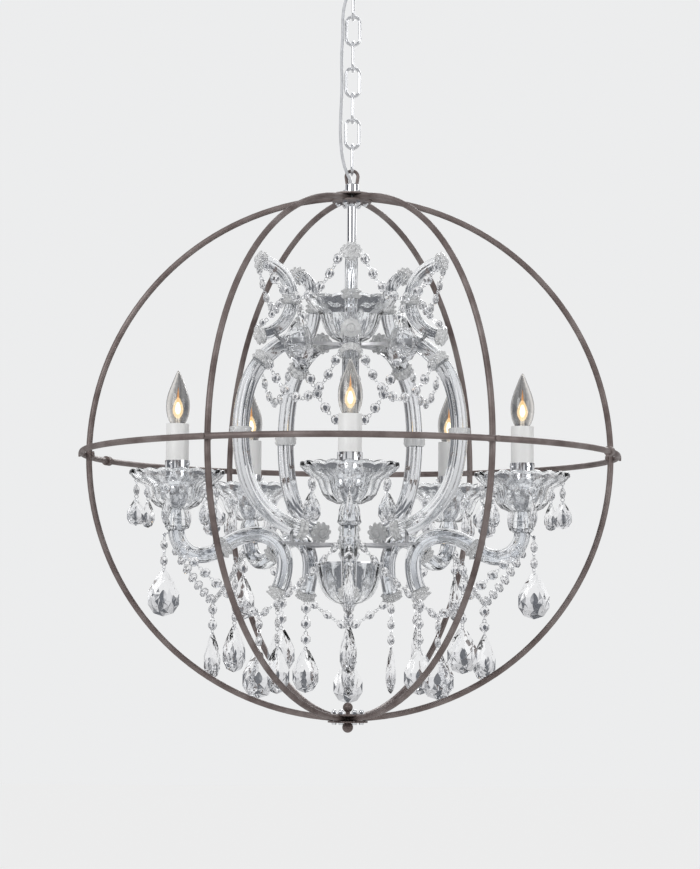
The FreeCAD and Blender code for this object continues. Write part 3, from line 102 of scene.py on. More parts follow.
# ---- Dishes and bowls -------------------------------------------------------------------------
BOBECHE_RIM_Z = -0.025
RIM_DROPS = 6
RIM_DROP_RADIUS = 0.054
RIM_DROP_BELOW = 0.0175
LID_Z = -0.1435
BOWL_DEPTH = 0.054
BOWL_FULLNESS = 2.5
BOWL_WALL = 0.003
BOWL_R = 0.044
DISH_CUTS = 18
TOP_BOWL_CUTS = 14
BOWL_CUTS = 12
RIM_DIP = 0.0022
TOP_BOWL_Z = 0.152
PIPE_BORE_R = 0.0053
COLUMN_TOP_Z = 0.148
COLUMN_LOW_Z = -0.116
COLUMN_BEADS = 5
BOBBIN_TOP_Z = -0.120
FLUTES = 10

# ---- Candles ----------------------------------------------------------------------------------
SLEEVE_TOP_Z = 0.035
BULB_BASE_H = 0.023
BULB_SKIN = 0.0006
THREAD_TURNS = 7
THREAD_PITCH = 0.0022
# The radius that stands for the axis itself in the bulbs' turned forms.
AXIS_R = 0.0001

# ---- Rosettes, beads and drops ----------------------------------------------------------------
ROSETTE_R = 0.014
ROSETTE_H = 0.013
HORN_ROSETTE_R = 0.0125
PETALS = 9
# Rows of (share of the radius, share of the half height, ruffle), as in flower().
BUTTON = ((0.44, 0.84, 0.0), (0.36, 0.88, 0.0), (0.34, 1.18, 0.0), (0.24, 1.34, 0.0),
          (0.10, 1.42, 0.0))
BUTTON_BORE_R = 0.0006
END_RUFFLE = 0.001
HORN_END_RUFFLE = 0.0008
JOINT_RUFFLE = 0.002
COLLAR_R = 0.015
BEAD_R = 0.0072
BEAD_T = 0.0072
BEAD_PITCH = 0.021
SMALL_BEAD_R = 0.0050
SMALL_BEAD_T = 0.0050
SMALL_BEAD_PITCH = 0.014
SWAG_SAMPLES = 60
RING_R = 0.0024
RING_WIRE = 0.00042
RING_SEAT = RING_R * 0.86
RING_TURNS = 14
RING_SIDES = 6
DROP_SIZE = (0.0405, 0.062, 0.012)
RIM_DROP_SIZE = (0.024, 0.036, 0.008)
END_DROP_RHO = 0.253
END_DROP_HOOK_Z = -0.110
END_DROP_TURNS = (75.0, -75.0, -75.0, -75.0, 75.0)
EYELET_R = 0.0024
EYELET_RING = (0.0017, 0.0006)
ARM_STRING_GAP = 0.0004
HORN_STRING_GAP = 0.0005
ROSETTE_STRING_GAP = 0.001
SWAG_APEX_RHO = 0.193
SWAG_APEX_Z = (-0.216, -0.194, -0.228, -0.194, -0.216)
SWAG_DROP_TURN = (-45.0, -67.0, 0.0, 52.0, 45.0)
SWAG_DROP_BEADS = 2
SWAG_START_Z = -0.124
LOWER_SWAG_SAG = 0.006
MID_STRAND_RHO = 0.157
MID_STRAND_TOP_Z = -0.142
MID_STRAND_BEADS = 4
MID_DROP_TURN = -60.0
INNER_STRAND_BEADS = 3
INNER_STRAND_OUT = 0.002
INNER_DROP_TURN = -68.0
UPPER_DROP_RHO = 0.080
UPPER_DROP_SIDE = 0.024
UPPER_DROP_Z = 0.204
# The (arm, side) of each drop beside a horn's waist.
UPPER_DROP_HANDS = ((1, -1), (2, -1), (3, 1), (4, 1))
HORN_SWAGS = (0, 1, 3, 4)
HORN_SWAG_SAG = 0.057
GARLAND_SAG = 0.006
LYRE_SWAG_SAGS = (0.057, 0.053, 0.076, 0.053, 0.057)

# ---- Studio -----------------------------------------------------------------------------------
FLOOR_Z = -2.6
FLOOR_SIZE = 60.0
FLOOR_GLOW = 0.70
PALE = (0.84, 0.845, 0.85)
AMBIENT = 0.55
# Greys by height, from straight down at 0 to straight up at 1.
SURROUND_SHADES = ((0.0, 0.30), (0.36, 0.42), (0.47, 0.80), (0.53, 0.84), (0.62, 0.62),
                   (0.80, 0.92))
SURROUND_BLUE = 1.01
CARD_SHADES = ((0.18, (0.30, 0.31, 0.33)), (0.50, (1.0, 1.0, 1.0)))
CARD_WAVE = {"Scale": 0.62, "Distortion": 1.5, "Detail": 1.0}
GLOSS_DEEPENING = 0.45
# Name, place, side in metres and power in watts.
LIGHTS = (("key", (-2.2, -2.6, 0.6), 1.8, 44.0), ("fill", (2.6, -1.8, -0.2), 1.8, 20.0),
          ("rim", (0.6, 2.6, 0.8), 1.6, 30.0))

# ---- Finishes of the nodes whose shape stays --------------------------------------------------
CROSSING_REACH = 0.05
FINISHES = {
    "chrome": ["ceiling_canopy", "canopy_loop", "chain_links", "stem_cap", "stem_tube",
               "candle_cups", "drop_hooks", "bowl_lid", "bowl_nut", "cage_bolts",
               *("arm_tube_%d" % number for number in range(1, 6))],
    "bronze": ["cage_loop", "hub_plates", "equator_hoop_1", "equator_hoop_2", "equator_collars",
               "bottom_finial", *("meridian_hoop_%d" % number for number in range(1, 7))],
    "steel": ["mounting_strap", "canopy_fasteners", "canopy_nipple", "centre_pipe",
              "upper_spider", "arm_hub"],
    "candle": ["candle_sleeves"],
    "socket": ["lamp_sockets"],
    "lead": ["lamp_leads"],
}


# ---- Camera and cord --------------------------------------------------------------------------
def make_camera():
    """The camera at the photograph's place: below the orb's centre and tilted up a little."""
    forward = Vector((0, cos(CAMERA_PITCH), sin(CAMERA_PITCH)))
    flat_up = Vector((0, -sin(CAMERA_PITCH), cos(CAMERA_PITCH)))
    flat_right = Vector((1, 0, 0))
    right = flat_right * cos(CAMERA_ROLL) + flat_up * sin(CAMERA_ROLL)
    up = flat_up * cos(CAMERA_ROLL) - flat_right * sin(CAMERA_ROLL)
    turn = Matrix((right, up, -forward)).transposed().to_4x4()
    data = bpy.data.cameras.new("camera")
    data.sensor_fit = "HORIZONTAL"
    data.sensor_width = SENSOR_WIDTH
    data.lens = CAMERA_LENS
    camera = bpy.data.objects.new("camera", data)
    camera.matrix_world = Matrix.Translation((0, -CAMERA_DISTANCE, ORB_Z - CAMERA_BELOW_ORB)) @ turn
    bpy.context.collection.objects.link(camera)
    bpy.context.scene.camera = camera


def make_cord(material):
    """The supply cord beside the chain."""
    data = bpy.data.curves.new("supply_cord_run", "CURVE")
    data.dimensions = "3D"
    data.bevel_depth = CORD_DIAMETER / 2
    data.bevel_resolution = 4
    data.resolution_u = 8
    spline = data.splines.new("NURBS")
    spline.points.add(len(CORD_ROUTE) - 1)
    for point, place in zip(spline.points, CORD_ROUTE):
        point.co = (*place, 1.0)
    spline.order_u = 3
    spline.use_endpoint_u = True
    cord = bpy.data.objects.new("supply_cord_run", data)
    bpy.context.collection.objects.link(cord)
    data.materials.append(material)
    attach(cord, "chain")
    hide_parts("supply_cord")


# ---- Materials --------------------------------------------------------------------------------
def new_material(name, **settings):
    """A Principled material with plain values on its own sockets, and its shader."""
    material = bpy.data.materials.new(name)
    material.use_nodes = True
    shader = material.node_tree.nodes["Principled BSDF"]
    for key, value in settings.items():
        shader.inputs[key.replace("_", " ")].default_value = value
    return material, shader


def noise(material, scale, detail=3.0, roughness=0.5):
    """A noise texture in the object's own coordinates."""
    nodes, links = material.node_tree.nodes, material.node_tree.links
    place = nodes.new("ShaderNodeTexCoord")
    texture = nodes.new("ShaderNodeTexNoise")
    texture.inputs["Scale"].default_value = scale
    texture.inputs["Detail"].default_value = detail
    texture.inputs["Roughness"].default_value = roughness
    links.new(place.outputs["Object"], texture.inputs["Vector"])
    return texture


def ramp(tree, source, stops):
    """A colour ramp of (position, colour) stops fed by a value."""
    node = tree.nodes.new("ShaderNodeValToRGB")
    elements = node.color_ramp.elements
    while len(elements) < len(stops):
        elements.new(0.5)
    for element, (position, colour) in zip(elements, stops):
        element.position = position
        element.color = (*colour, 1.0)
    tree.links.new(source, node.inputs["Fac"])
    return node.outputs["Color"]


def shades(material, texture, stops, socket):
    """Colours or greys that follow a texture, on one socket of the shader."""
    tree = material.node_tree
    stops = [(place, shade if isinstance(shade, tuple) else (shade,) * 3) for place, shade in stops]
    tree.links.new(ramp(tree, texture.outputs["Fac"], stops), socket)


def bump(material, shader, source, distance):
    """Fine relief from a texture."""
    nodes, links = material.node_tree.nodes, material.node_tree.links
    node = nodes.new("ShaderNodeBump")
    node.inputs["Strength"].default_value = 1.0
    node.inputs["Distance"].default_value = distance
    links.new(source.outputs["Fac"], node.inputs["Height"])
    links.new(node.outputs["Normal"], shader.inputs["Normal"])


def glass(name, tint, roughness, wave_scale, wave_depth, clearness=1.0):
    """Clear glass with the slight waves of pressed or drawn glass."""
    material, shader = new_material(name, Base_Color=(*tint, 1.0), Roughness=roughness,
                                    IOR=1.52, Transmission_Weight=clearness)
    bump(material, shader, noise(material, wave_scale, 2.0), wave_depth)
    return material


def metal(name, stops, roughness_stops, scale):
    """Metal whose colour and gloss wander a little."""
    material, shader = new_material(name, Metallic=1.0)
    texture = noise(material, scale, 4.0)
    shades(material, texture, stops, shader.inputs["Base Color"])
    shades(material, texture, zip((0.3, 0.7), roughness_stops), shader.inputs["Roughness"])
    return material


def patina():
    """Rubbed bronze paint: a grey brown with darker and redder patches and a fine grain."""
    material, shader = new_material("rubbed_bronze", Metallic=0.35, Specular_IOR_Level=0.5)
    patches = noise(material, 22.0, 6.0, 0.62)
    browns = ((0.30, (0.110, 0.080, 0.074)), (0.48, (0.190, 0.152, 0.144)),
              (0.66, (0.265, 0.225, 0.215)))
    shades(material, patches, browns, shader.inputs["Base Color"])
    shades(material, patches, ((0.3, 0.56), (0.7, 0.40)), shader.inputs["Roughness"])
    bump(material, shader, noise(material, 900.0, 2.0), 0.00012)
    return material


def plain(name, stops, roughness, scale, grain_scale, grain_depth):
    """A moulded or painted surface with a faint change of shade and a fine grain."""
    material, shader = new_material(name, Roughness=roughness)
    shades(material, noise(material, scale), stops, shader.inputs["Base Color"])
    bump(material, shader, noise(material, grain_scale, 2.0), grain_depth)
    return material


def glow(name, colour, strength, opacity):
    """Light inside a bulb: emission that is partly see-through."""
    material = bpy.data.materials.new(name)
    material.use_nodes = True
    nodes, links = material.node_tree.nodes, material.node_tree.links
    nodes.clear()
    output = nodes.new("ShaderNodeOutputMaterial")
    mix = nodes.new("ShaderNodeMixShader")
    clear = nodes.new("ShaderNodeBsdfTransparent")
    light = nodes.new("ShaderNodeEmission")
    light.inputs["Color"].default_value = (*colour, 1.0)
    light.inputs["Strength"].default_value = strength
    mix.inputs["Fac"].default_value = opacity
    links.new(clear.outputs["BSDF"], mix.inputs[1])
    links.new(light.outputs["Emission"], mix.inputs[2])
    links.new(mix.outputs["Shader"], output.inputs["Surface"])
    return material


CHROME_SHADES = [(0.3, (0.80, 0.81, 0.83)), (0.7, (0.88, 0.885, 0.90))]
STEEL_SHADES = [(0.3, (0.52, 0.52, 0.54)), (0.7, (0.66, 0.66, 0.67))]
BRASS_SHADES = [(0.3, (0.70, 0.60, 0.40)), (0.7, (0.80, 0.72, 0.52))]

MATERIALS = {
    "tube_glass": glass("tube_glass", (0.955, 0.97, 0.985), 0.035, 60.0, 0.0002),
    "cut_glass": glass("cut_glass", (0.965, 0.975, 0.985), 0.03, 240.0, 0.0002),
    "floret_glass": glass("floret_glass", (0.97, 0.975, 0.98), 0.24, 500.0, 0.0003, 0.45),
    "crystal": glass("crystal", (0.985, 0.99, 1.0), 0.0, 30.0, 0.00002),
    "bulb_glass": glass("bulb_glass", (1.0, 0.985, 0.96), 0.0, 20.0, 0.00002),
    "chrome": metal("polished_chrome", CHROME_SHADES, (0.07, 0.13), 40.0),
    "steel": metal("zinc_steel", STEEL_SHADES, (0.28, 0.42), 160.0),
    "contact": metal("lamp_base_metal", BRASS_SHADES, (0.25, 0.35), 90.0),
    "bronze": patina(),
    "candle": plain("candle_white", [(0.3, (0.86, 0.86, 0.85)), (0.7, (0.92, 0.92, 0.915))],
                    0.30, 30.0, 500.0, 0.00003),
    "socket": plain("socket_black", [(0.3, (0.035, 0.032, 0.03)), (0.7, (0.05, 0.047, 0.045))],
                    0.55, 90.0, 900.0, 0.0001),
    "lead": plain("lead_white", [(0.3, (0.74, 0.74, 0.72)), (0.7, (0.82, 0.82, 0.80))], 0.45,
                  120.0, 700.0, 0.00005),
    "cord": plain("cord_silver", [(0.3, (0.50, 0.51, 0.53)), (0.7, (0.66, 0.67, 0.70))], 0.22,
                  220.0, 1200.0, 0.00012),
    "glow_core": glow("glow_core", (1.0, 0.83, 0.55), 3.0, 1.0),
    "glow_halo": glow("glow_halo", (1.0, 0.74, 0.40), 1.6, 0.35),
    "glow_amber": glow("glow_amber", (1.0, 0.42, 0.10), 0.9, 0.45),
}


# ---- Meshes -----------------------------------------------------------------------------------
def grid_faces(rows, columns, loop_rows):
    """Quads of a surface whose rows are closed rings."""
    faces = []
    for row in range(rows if loop_rows else rows - 1):
        following = (row + 1) % rows
        for column in range(columns):
            nearby = (column + 1) % columns
            faces.append((row * columns + column, row * columns + nearby,
                          following * columns + nearby, following * columns + column))
    return faces


def ringed(rings, loop_rows=False):
    """A closed part from rings of points: capped at both ends, or joined into a loop."""
    rows, columns = len(rings), len(rings[0])
    faces = grid_faces(rows, columns, loop_rows)
    if not loop_rows:
        faces.append(tuple(reversed(range(columns))))
        faces.append(tuple(range((rows - 1) * columns, rows * columns)))
    return np.array(rings, float).reshape(-1, 3), faces


def joined(parts):
    """Several parts as one."""
    points, faces, count = [], [], 0
    for part_points, part_faces in parts:
        points.append(part_points)
        faces += [tuple(corner + count for corner in face) for face in part_faces]
        count += len(part_points)
    return np.vstack(points), faces


def moved(part, matrix):
    """A part through a 4x4 matrix."""
    points, faces = part
    placed_points = points @ np.array(matrix.to_3x3()).T + np.array(matrix.translation)
    return placed_points, faces


def unit_matrix(index):
    """From an arm's own plane to the part's frame."""
    turn = Matrix.Rotation(radians(FRONT_AZIMUTH + UNIT_STEP * index), 4, "Z")
    return Matrix.Translation((0, 0, ORB_Z)) @ turn


def turned(azimuth):
    """A turn about the vertical axis."""
    return Matrix.Rotation(radians(azimuth), 4, "Z")


def on_units(part):
    """One copy of a part at each arm."""
    return joined([moved(part, unit_matrix(index)) for index in range(UNITS)])


def raised(part):
    """A part on the orb's axis, brought to the orb's height."""
    return moved(part, Matrix.Translation((0, 0, ORB_Z)))


def piece(name, part, material, body="fixture", replaces=(), smooth_angle=35.0):
    """A finished object from a part, riding on its body."""
    points, faces = part
    mesh = bpy.data.meshes.new(name)
    mesh.from_pydata(points.tolist(), [], faces)
    work = bmesh.new()
    work.from_mesh(mesh)
    bmesh.ops.remove_doubles(work, verts=work.verts, dist=1e-6)
    bmesh.ops.recalc_face_normals(work, faces=work.faces)
    work.to_mesh(mesh)
    work.free()
    if smooth_angle:
        mesh.polygons.foreach_set("use_smooth", [True] * len(mesh.polygons))
        mesh.set_sharp_from_angle(angle=radians(smooth_angle))
    mesh.materials.append(MATERIALS[material])
    obj = bpy.data.objects.new(name, mesh)
    bpy.context.collection.objects.link(obj)
    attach(obj, body)
    if replaces:
        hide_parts(*replaces)


def unit_vector(heading):
    """The direction of a heading in an arm's plane, in degrees above RHO."""
    return np.array((cos(radians(heading)), 0.0, sin(radians(heading))))


def arc_run(start, heading, bends):
    """Points and headings along tangent arcs in an arm's plane; a positive turn is to the left."""
    points, headings, joins = [np.array(start, float)], [heading], [0]
    for radius, turn in bends:
        side = 90.0 if turn > 0 else -90.0
        centre = points[-1] + unit_vector(heading + side) * radius
        steps = max(3, ceil(radius * abs(radians(turn)) / TUBE_STEP))
        for step in range(1, steps + 1):
            now = heading + turn * step / steps
            points.append(centre - unit_vector(now + side) * radius)
            headings.append(now)
        heading += turn
        joins.append(len(points) - 1)
    return points, headings, joins


def lyre_run():
    """The lyre's centreline, from its top end out and round to its bottom end."""
    first = sum(-turn for radius, turn in LYRE_BENDS) / 2 - 90.0
    points, headings, joins = arc_run((LYRE_END_RHO, 0, 0), first, LYRE_BENDS)
    rise = LYRE_MID_Z - (points[0][2] + points[-1][2]) / 2
    return [point + np.array((0, 0, rise)) for point in points], headings, joins


def lyre_shoulder():
    """The place and heading of the rosette on the lyre's shoulder."""
    points, headings = lyre_run()[:2]
    radius = LYRE_BENDS[0][0]
    centre = points[0] + unit_vector(headings[0] - 90) * radius
    heading = headings[0] - LYRE_FLOWER_TURN
    return centre - unit_vector(heading - 90) * radius, heading


def horn_run():
    """The horn's centreline: a half circle open outwards, from its low end to its tip."""
    spread = (HORN_TURN - 180.0) / 2
    start = np.array((HORN_RHO, 0, HORN_Z)) + unit_vector(spread - 90) * HORN_R
    return arc_run(start, 180.0 + spread, [(HORN_R, -HORN_TURN)])


def arm_run():
    """The arm's centreline, from under the bobeche to its tail."""
    return arc_run((ARM_RHO, 0, ARM_TOP_Z - NECK_H), -90.0, ARM_BENDS)


def ribbed_ring(point, heading, radius, depth):
    """A ring of points round a centreline, with convex ribs parted by narrow grooves."""
    segments = TUBE_RIBS * 6
    across, side = unit_vector(heading + 90), np.array((0.0, 1.0, 0.0))
    ring = []
    for k in range(segments):
        angle = 2 * pi * k / segments
        share = 1.0 - depth * (1.0 - abs(sin(TUBE_RIBS * angle / 2)) ** 0.6)
        ring.append(point + (across * cos(angle) + side * sin(angle)) * radius * share)
    return ring


def ribbed_tube(points, headings, radius, bore=0.0):
    """A ribbed glass tube; a bore goes right through it."""
    outer = [ribbed_ring(p, h, radius, RIB_DEPTH) for p, h in zip(points, headings)]
    if not bore:
        return ringed(outer)
    inner = [ribbed_ring(p, h, bore, 0.0) for p, h in zip(points, headings)]
    return ringed(outer + inner[::-1], loop_rows=True)


def lathe(profile, segments, shape=None):
    """The rings of a part turned about Z from (radius, height) points.

    shape(angle, row) gives the share of the radius and the rise at a place.
    """
    rings = []
    for row, (radius, height) in enumerate(profile):
        ring = []
        for k in range(segments):
            angle = 2 * pi * k / segments
            share, rise = shape(angle, row) if shape else (1.0, 0.0)
            ring.append((radius * share * cos(angle), radius * share * sin(angle), height + rise))
        rings.append(ring)
    return rings


def turned_solid(profile, segments):
    """A closed part whose profile starts and ends on the axis."""
    return ringed(lathe(profile, segments))


def turned_shell(profile, segments, shape=None):
    """A closed part whose profile goes round a hollow."""
    return ringed(lathe(profile, segments, shape), loop_rows=True)


# ---- Glass tubes ------------------------------------------------------------------------------
def make_tubes():
    """The ribbed glass of the lyres, horns and arms."""
    lyre = ribbed_tube(*lyre_run()[:2], LYRE_TUBE_R)
    for index in range(UNITS):
        name = "lyre_%d" % (index + 1)
        piece(name + "_ribbed", moved(lyre, unit_matrix(index)), "tube_glass", replaces=[name])
    horn = ribbed_tube(*horn_run()[:2], HORN_TUBE_R)
    piece("horns_ribbed", on_units(horn), "tube_glass", replaces=["horns"])
    points, headings, joins = arm_run()
    half = joins[2]
    outer = ribbed_tube(points[:half + 1], headings[:half + 1], ARM_TUBE_R, ARM_BORE_R)
    inner = ribbed_tube(points[half:], headings[half:], ARM_TUBE_R, ARM_BORE_R)
    piece("arms_ribbed", on_units(joined([outer, inner, arm_neck()])), "tube_glass",
          replaces=["arm_glass"])


def arm_neck():
    """The fluted glass bobbin under a bobeche, with a skirt at its foot."""
    low = ARM_TOP_Z - NECK_H

    def shape(angle, row):
        return 1.0 - (0.09 * (1 - abs(sin(FLUTES * angle / 2))) if 1 <= row <= 6 else 0.0), 0.0

    profile = [(ARM_BORE_R, low), (0.0118, low), (0.0152, low + 0.004), (0.0140, low + 0.008),
               (0.0136, low + 0.014), (0.0130, low + 0.020), (0.0112, low + 0.025),
               (0.0106, ARM_TOP_Z), (ARM_BORE_R, ARM_TOP_Z)]
    return moved(turned_shell(profile, FLUTES * 8, shape), Matrix.Translation((ARM_RHO, 0, 0)))


# ---- Rosettes ---------------------------------------------------------------------------------
def flower(radius, bore, button=()):
    """A ruffled flower about Z: two tiers of petals, the upper ones between the lower ones."""
    half = ROSETTE_H / 2
    rows = [(None, -1.0, 0.0), (0.58, -1.0, 0.04), (0.84, -0.78, 0.14), (1.00, -0.42, 0.24),
            (0.90, -0.22, 0.16), (0.74, -0.02, 0.06), (0.74, 0.12, -0.06), (0.94, 0.38, -0.22),
            (0.96, 0.62, -0.24), (0.72, 0.82, -0.14), (0.52, 1.0, -0.04), *button, (None, 1.0, 0.0)]
    if button:
        rows[-1] = (None, button[-1][1], 0.0)
    profile = [(bore if share is None else max(radius * share, bore * 1.12), height * half)
               for share, height, ruffle in rows]

    def shape(angle, row):
        ruffle = rows[row][2]
        lobe = abs(sin(PETALS * angle / 2)) if ruffle > 0 else abs(cos(PETALS * angle / 2))
        return 1.0 - abs(ruffle) * (1 - lobe), 0.35 * half * abs(ruffle) * (1 - lobe)

    return turned_shell(profile, PETALS * 8, shape)


def toward(heading):
    """A turn that brings Z to a heading in an arm's plane."""
    return Matrix.Rotation(radians(90 - heading), 4, "Y")


def make_rosettes():
    """Every rosette of the five arms."""
    half = ROSETTE_H / 2
    parts = []

    def put(part, point, heading):
        parts.append(moved(part, Matrix.Translation(tuple(point)) @ toward(heading)))

    def put_ends(run, radius, ends=(0, -1)):
        points, headings = run[:2]
        for end in ends:
            out = headings[end] if end else headings[end] + 180
            put(flower(radius, BUTTON_BORE_R, BUTTON), points[end] + unit_vector(out) * half, out)

    horn, lyre, arm = horn_run(), lyre_run(), arm_run()
    put_ends(horn, HORN_ROSETTE_R + HORN_END_RUFFLE)
    put_ends(lyre, ROSETTE_R + END_RUFFLE)
    put_ends(arm, ROSETTE_R + END_RUFFLE, (-1,))
    put(flower(HORN_ROSETTE_R + JOINT_RUFFLE, HORN_TUBE_R), (HORN_RHO - HORN_R, 0, HORN_Z), 90)
    put(flower(ROSETTE_R + JOINT_RUFFLE, LYRE_TUBE_R), *lyre_shoulder())
    junction = arm[2][2]
    put(flower(ROSETTE_R + JOINT_RUFFLE, ARM_TUBE_R), arm[0][junction], arm[1][junction])
    belly = max(point[0] for point in lyre[0])
    collar = turned_shell([(LYRE_TUBE_R, -0.0055), (COLLAR_R * 0.88, -0.0055), (COLLAR_R, -0.002),
                           (COLLAR_R * 0.96, 0.001), (COLLAR_R, 0.0035),
                           (COLLAR_R * 0.94, 0.0055), (LYRE_TUBE_R, 0.0055)], 48)
    put(collar, (belly, 0, LYRE_MID_Z), 90)
    piece("florets", on_units(joined(parts)), "floret_glass", replaces=["rosettes"],
          smooth_angle=50)


# ---- Dishes, bowls and column -----------------------------------------------------------------
def cut_shape(cuts, body_rows, groove, rim_rows=(), ripple=0.0):
    """The cutting of a dish: grooves on the body and scallops on the rim."""
    def shape(angle, row):
        share, rise = 1.0, 0.0
        if row in body_rows:
            share -= groove * (1 - abs(sin(cuts * angle / 2)))
        if row in rim_rows:
            wave = abs(cos(cuts * angle / 2))
            share -= ripple * (1 - wave)
            rise -= RIM_DIP * (1 - wave)
        return share, rise
    return shape


def make_dishes():
    """The bobeches, the top bowl and the bottom bowl."""
    low, rim = ARM_TOP_Z, BOBECHE_RIM_Z
    profile = [(0.0084, low), (0.0165, low), (0.0275, low + 0.0048), (0.0330, low + 0.0105),
               (0.0370, low + 0.0190), (0.0395, low + 0.0265), (0.0430, low + 0.0315),
               (0.0520, rim - 0.0150), (0.0590, rim - 0.0095), (0.0628, rim - 0.0050),
               (0.0622, rim - 0.0010), (0.0600, rim - 0.0002),
               (0.0560, rim - 0.0070), (0.0480, rim - 0.0135), (0.0400, low + 0.0335),
               (0.0365, low + 0.0290), (0.0340, low + 0.0210), (0.0300, low + 0.0130),
               (0.0240, low + 0.0085), (0.0165, low + 0.0034), (0.0084, low + 0.0034)]
    body_rows, rim_rows = range(2, 7), range(7, 13)
    shape = cut_shape(DISH_CUTS, body_rows, 0.055, rim_rows, 0.035)
    dish = moved(turned_shell(profile, DISH_CUTS * 10, shape), Matrix.Translation((ARM_RHO, 0, 0)))
    piece("bobeches_cut", on_units(dish), "cut_glass", replaces=["bobeches"])

    floor = TOP_BOWL_Z
    profile = [(0.0056, floor), (0.0130, floor), (0.0255, floor + 0.0065), (0.0325, floor + 0.0135),
               (0.0375, floor + 0.0220), (0.0405, floor + 0.0310), (0.0420, floor + 0.0370),
               (0.0500, floor + 0.0440), (0.0570, floor + 0.0510), (0.0608, floor + 0.0570),
               (0.0600, floor + 0.0608), (0.0580, floor + 0.0606), (0.0540, floor + 0.0530),
               (0.0460, floor + 0.0460), (0.0385, floor + 0.0385), (0.0345, floor + 0.0240),
               (0.0295, floor + 0.0160), (0.0240, floor + 0.0100), (0.0130, floor + 0.0050),
               (0.0056, floor + 0.0050)]
    shape = cut_shape(TOP_BOWL_CUTS, body_rows, 0.06, rim_rows, 0.045)
    piece("top_bowl_cut", raised(turned_shell(profile, TOP_BOWL_CUTS * 12, shape)), "cut_glass",
          replaces=["top_bowl"])

    steps = 9
    outer, inner = [], []
    for k in range(steps):
        angle = pi / 2 * k / steps
        across, down = cos(angle) ** (2 / BOWL_FULLNESS), sin(angle) ** (2 / BOWL_FULLNESS)
        outer.append((BOWL_R * across, LID_Z - BOWL_DEPTH * down))
        inner.append(((BOWL_R - BOWL_WALL) * across, LID_Z - (BOWL_DEPTH - BOWL_WALL) * down))
    hole = [(PIPE_BORE_R, LID_Z - BOWL_DEPTH), (PIPE_BORE_R, LID_Z - BOWL_DEPTH + BOWL_WALL)]
    shape = cut_shape(BOWL_CUTS, range(1, steps), 0.07)
    bowl = turned_shell(outer + hole + inner[::-1], BOWL_CUTS * 12, shape)
    piece("bottom_bowl_cut", raised(bowl), "cut_glass", replaces=["bottom_bowl"])


def make_column():
    """The glass round the pipe: a stack of fluted beads, and a bobbin under the arm hub."""
    bore = PIPE_BORE_R
    step = (COLUMN_TOP_Z - COLUMN_LOW_Z) / COLUMN_BEADS
    profile = [(bore, COLUMN_LOW_Z)]
    for k in range(COLUMN_BEADS):
        z = COLUMN_LOW_Z + k * step
        profile += [(0.0090, z), (0.0138, z + 0.005), (0.0145, z + 0.008), (0.0138, z + 0.011),
                    (0.0092, z + 0.017), (0.0086, z + 0.024), (0.0100, z + 0.034),
                    (0.0092, z + 0.046)]
    profile += [(0.0090, COLUMN_TOP_Z), (bore, COLUMN_TOP_Z)]
    plain_rows = (0, len(profile) - 1)

    def shape(angle, row):
        if row in plain_rows:
            return 1.0, 0.0
        return 1.0 - 0.10 * (1 - abs(sin(FLUTES * angle / 2))), 0.0

    column = turned_shell(profile, FLUTES * 8, shape)
    low, high = LID_Z + 0.0015, BOBBIN_TOP_Z
    middle = (low + high) / 2
    bobbin = turned_shell([(bore, low), (0.0090, low), (0.0130, middle - 0.003), (0.0142, middle),
                           (0.0130, middle + 0.003), (0.0090, high), (bore, high)], 48)
    piece("column_fluted", raised(joined([column, bobbin])), "cut_glass",
          replaces=["glass_column"])


# ---- Crystals ---------------------------------------------------------------------------------
def closed_facets(rings, front, back):
    """A faceted part from stacked rings of points between a front and a back point."""
    count = len(rings[0])
    points = [p for ring in rings for p in ring] + [front, back]
    faces = []
    for row in range(len(rings) - 1):
        for k in range(count):
            a, b = row * count + k, row * count + (k + 1) % count
            c, d = a + count, b + count
            faces += [(a, b, d), (a, d, c)]
    last = (len(rings) - 1) * count
    for k in range(count):
        following = (k + 1) % count
        faces.append((following, k, len(points) - 2))
        faces.append((last + k, last + following, len(points) - 1))
    return np.array(points, float), faces


def bead_part(radius, depth):
    """An octagon bead about the origin, its string along Z and its flat to Y."""
    rings = []
    for y, share, spin in ((-0.46, 0.46, 0.0), (-0.34, 0.80, 0.5), (-0.06, 1.0, 0.0),
                           (0.06, 1.0, 0.0), (0.34, 0.80, 0.5), (0.46, 0.46, 0.0)):
        rings.append([(radius * share * cos(2 * pi * (k + 0.5 + spin) / 8), depth * y,
                       radius * share * sin(2 * pi * (k + 0.5 + spin) / 8)) for k in range(8)])
    return closed_facets(rings, (0, -depth * 0.47, 0), (0, depth * 0.47, 0))


def drop_part(width, height, depth):
    """A pear-shaped drop that hangs from the origin: a lattice of facets over a domed face."""
    sides = 12
    outline = []
    for k in range(sides):
        angle = 2 * pi * k / sides
        down = (1 - cos(angle)) / 2
        swell = sin(angle) * (1 - 0.42 * cos(angle) * (1 if cos(angle) > 0 else 0.35))
        outline.append((width / 2 * swell * (0.62 + 0.38 * down ** 0.5 * 1.18), -height * down))
    widest = max(abs(x) for x, z in outline)
    outline = [(x * width / 2 / widest, z) for x, z in outline]
    centre = -height * 0.60
    rings = []
    for y, share, shift in ((-0.485, 0.26, 0), (-0.40, 0.54, 1), (-0.25, 0.80, 0), (-0.07, 1.0, 1),
                            (0.07, 1.0, 1), (0.25, 0.80, 0), (0.40, 0.54, 1), (0.485, 0.26, 0)):
        ring = []
        for k in range(sides):
            x0, z0 = outline[k]
            x1, z1 = outline[(k + 1) % sides]
            x, z = (x0, z0) if shift else ((x0 + x1) / 2, (z0 + z1) / 2)
            ring.append((x * share, depth * y, centre + (z - centre) * share))
        rings.append(ring)
    return closed_facets(rings, (0, -depth * 0.5, centre), (0, depth * 0.5, centre))


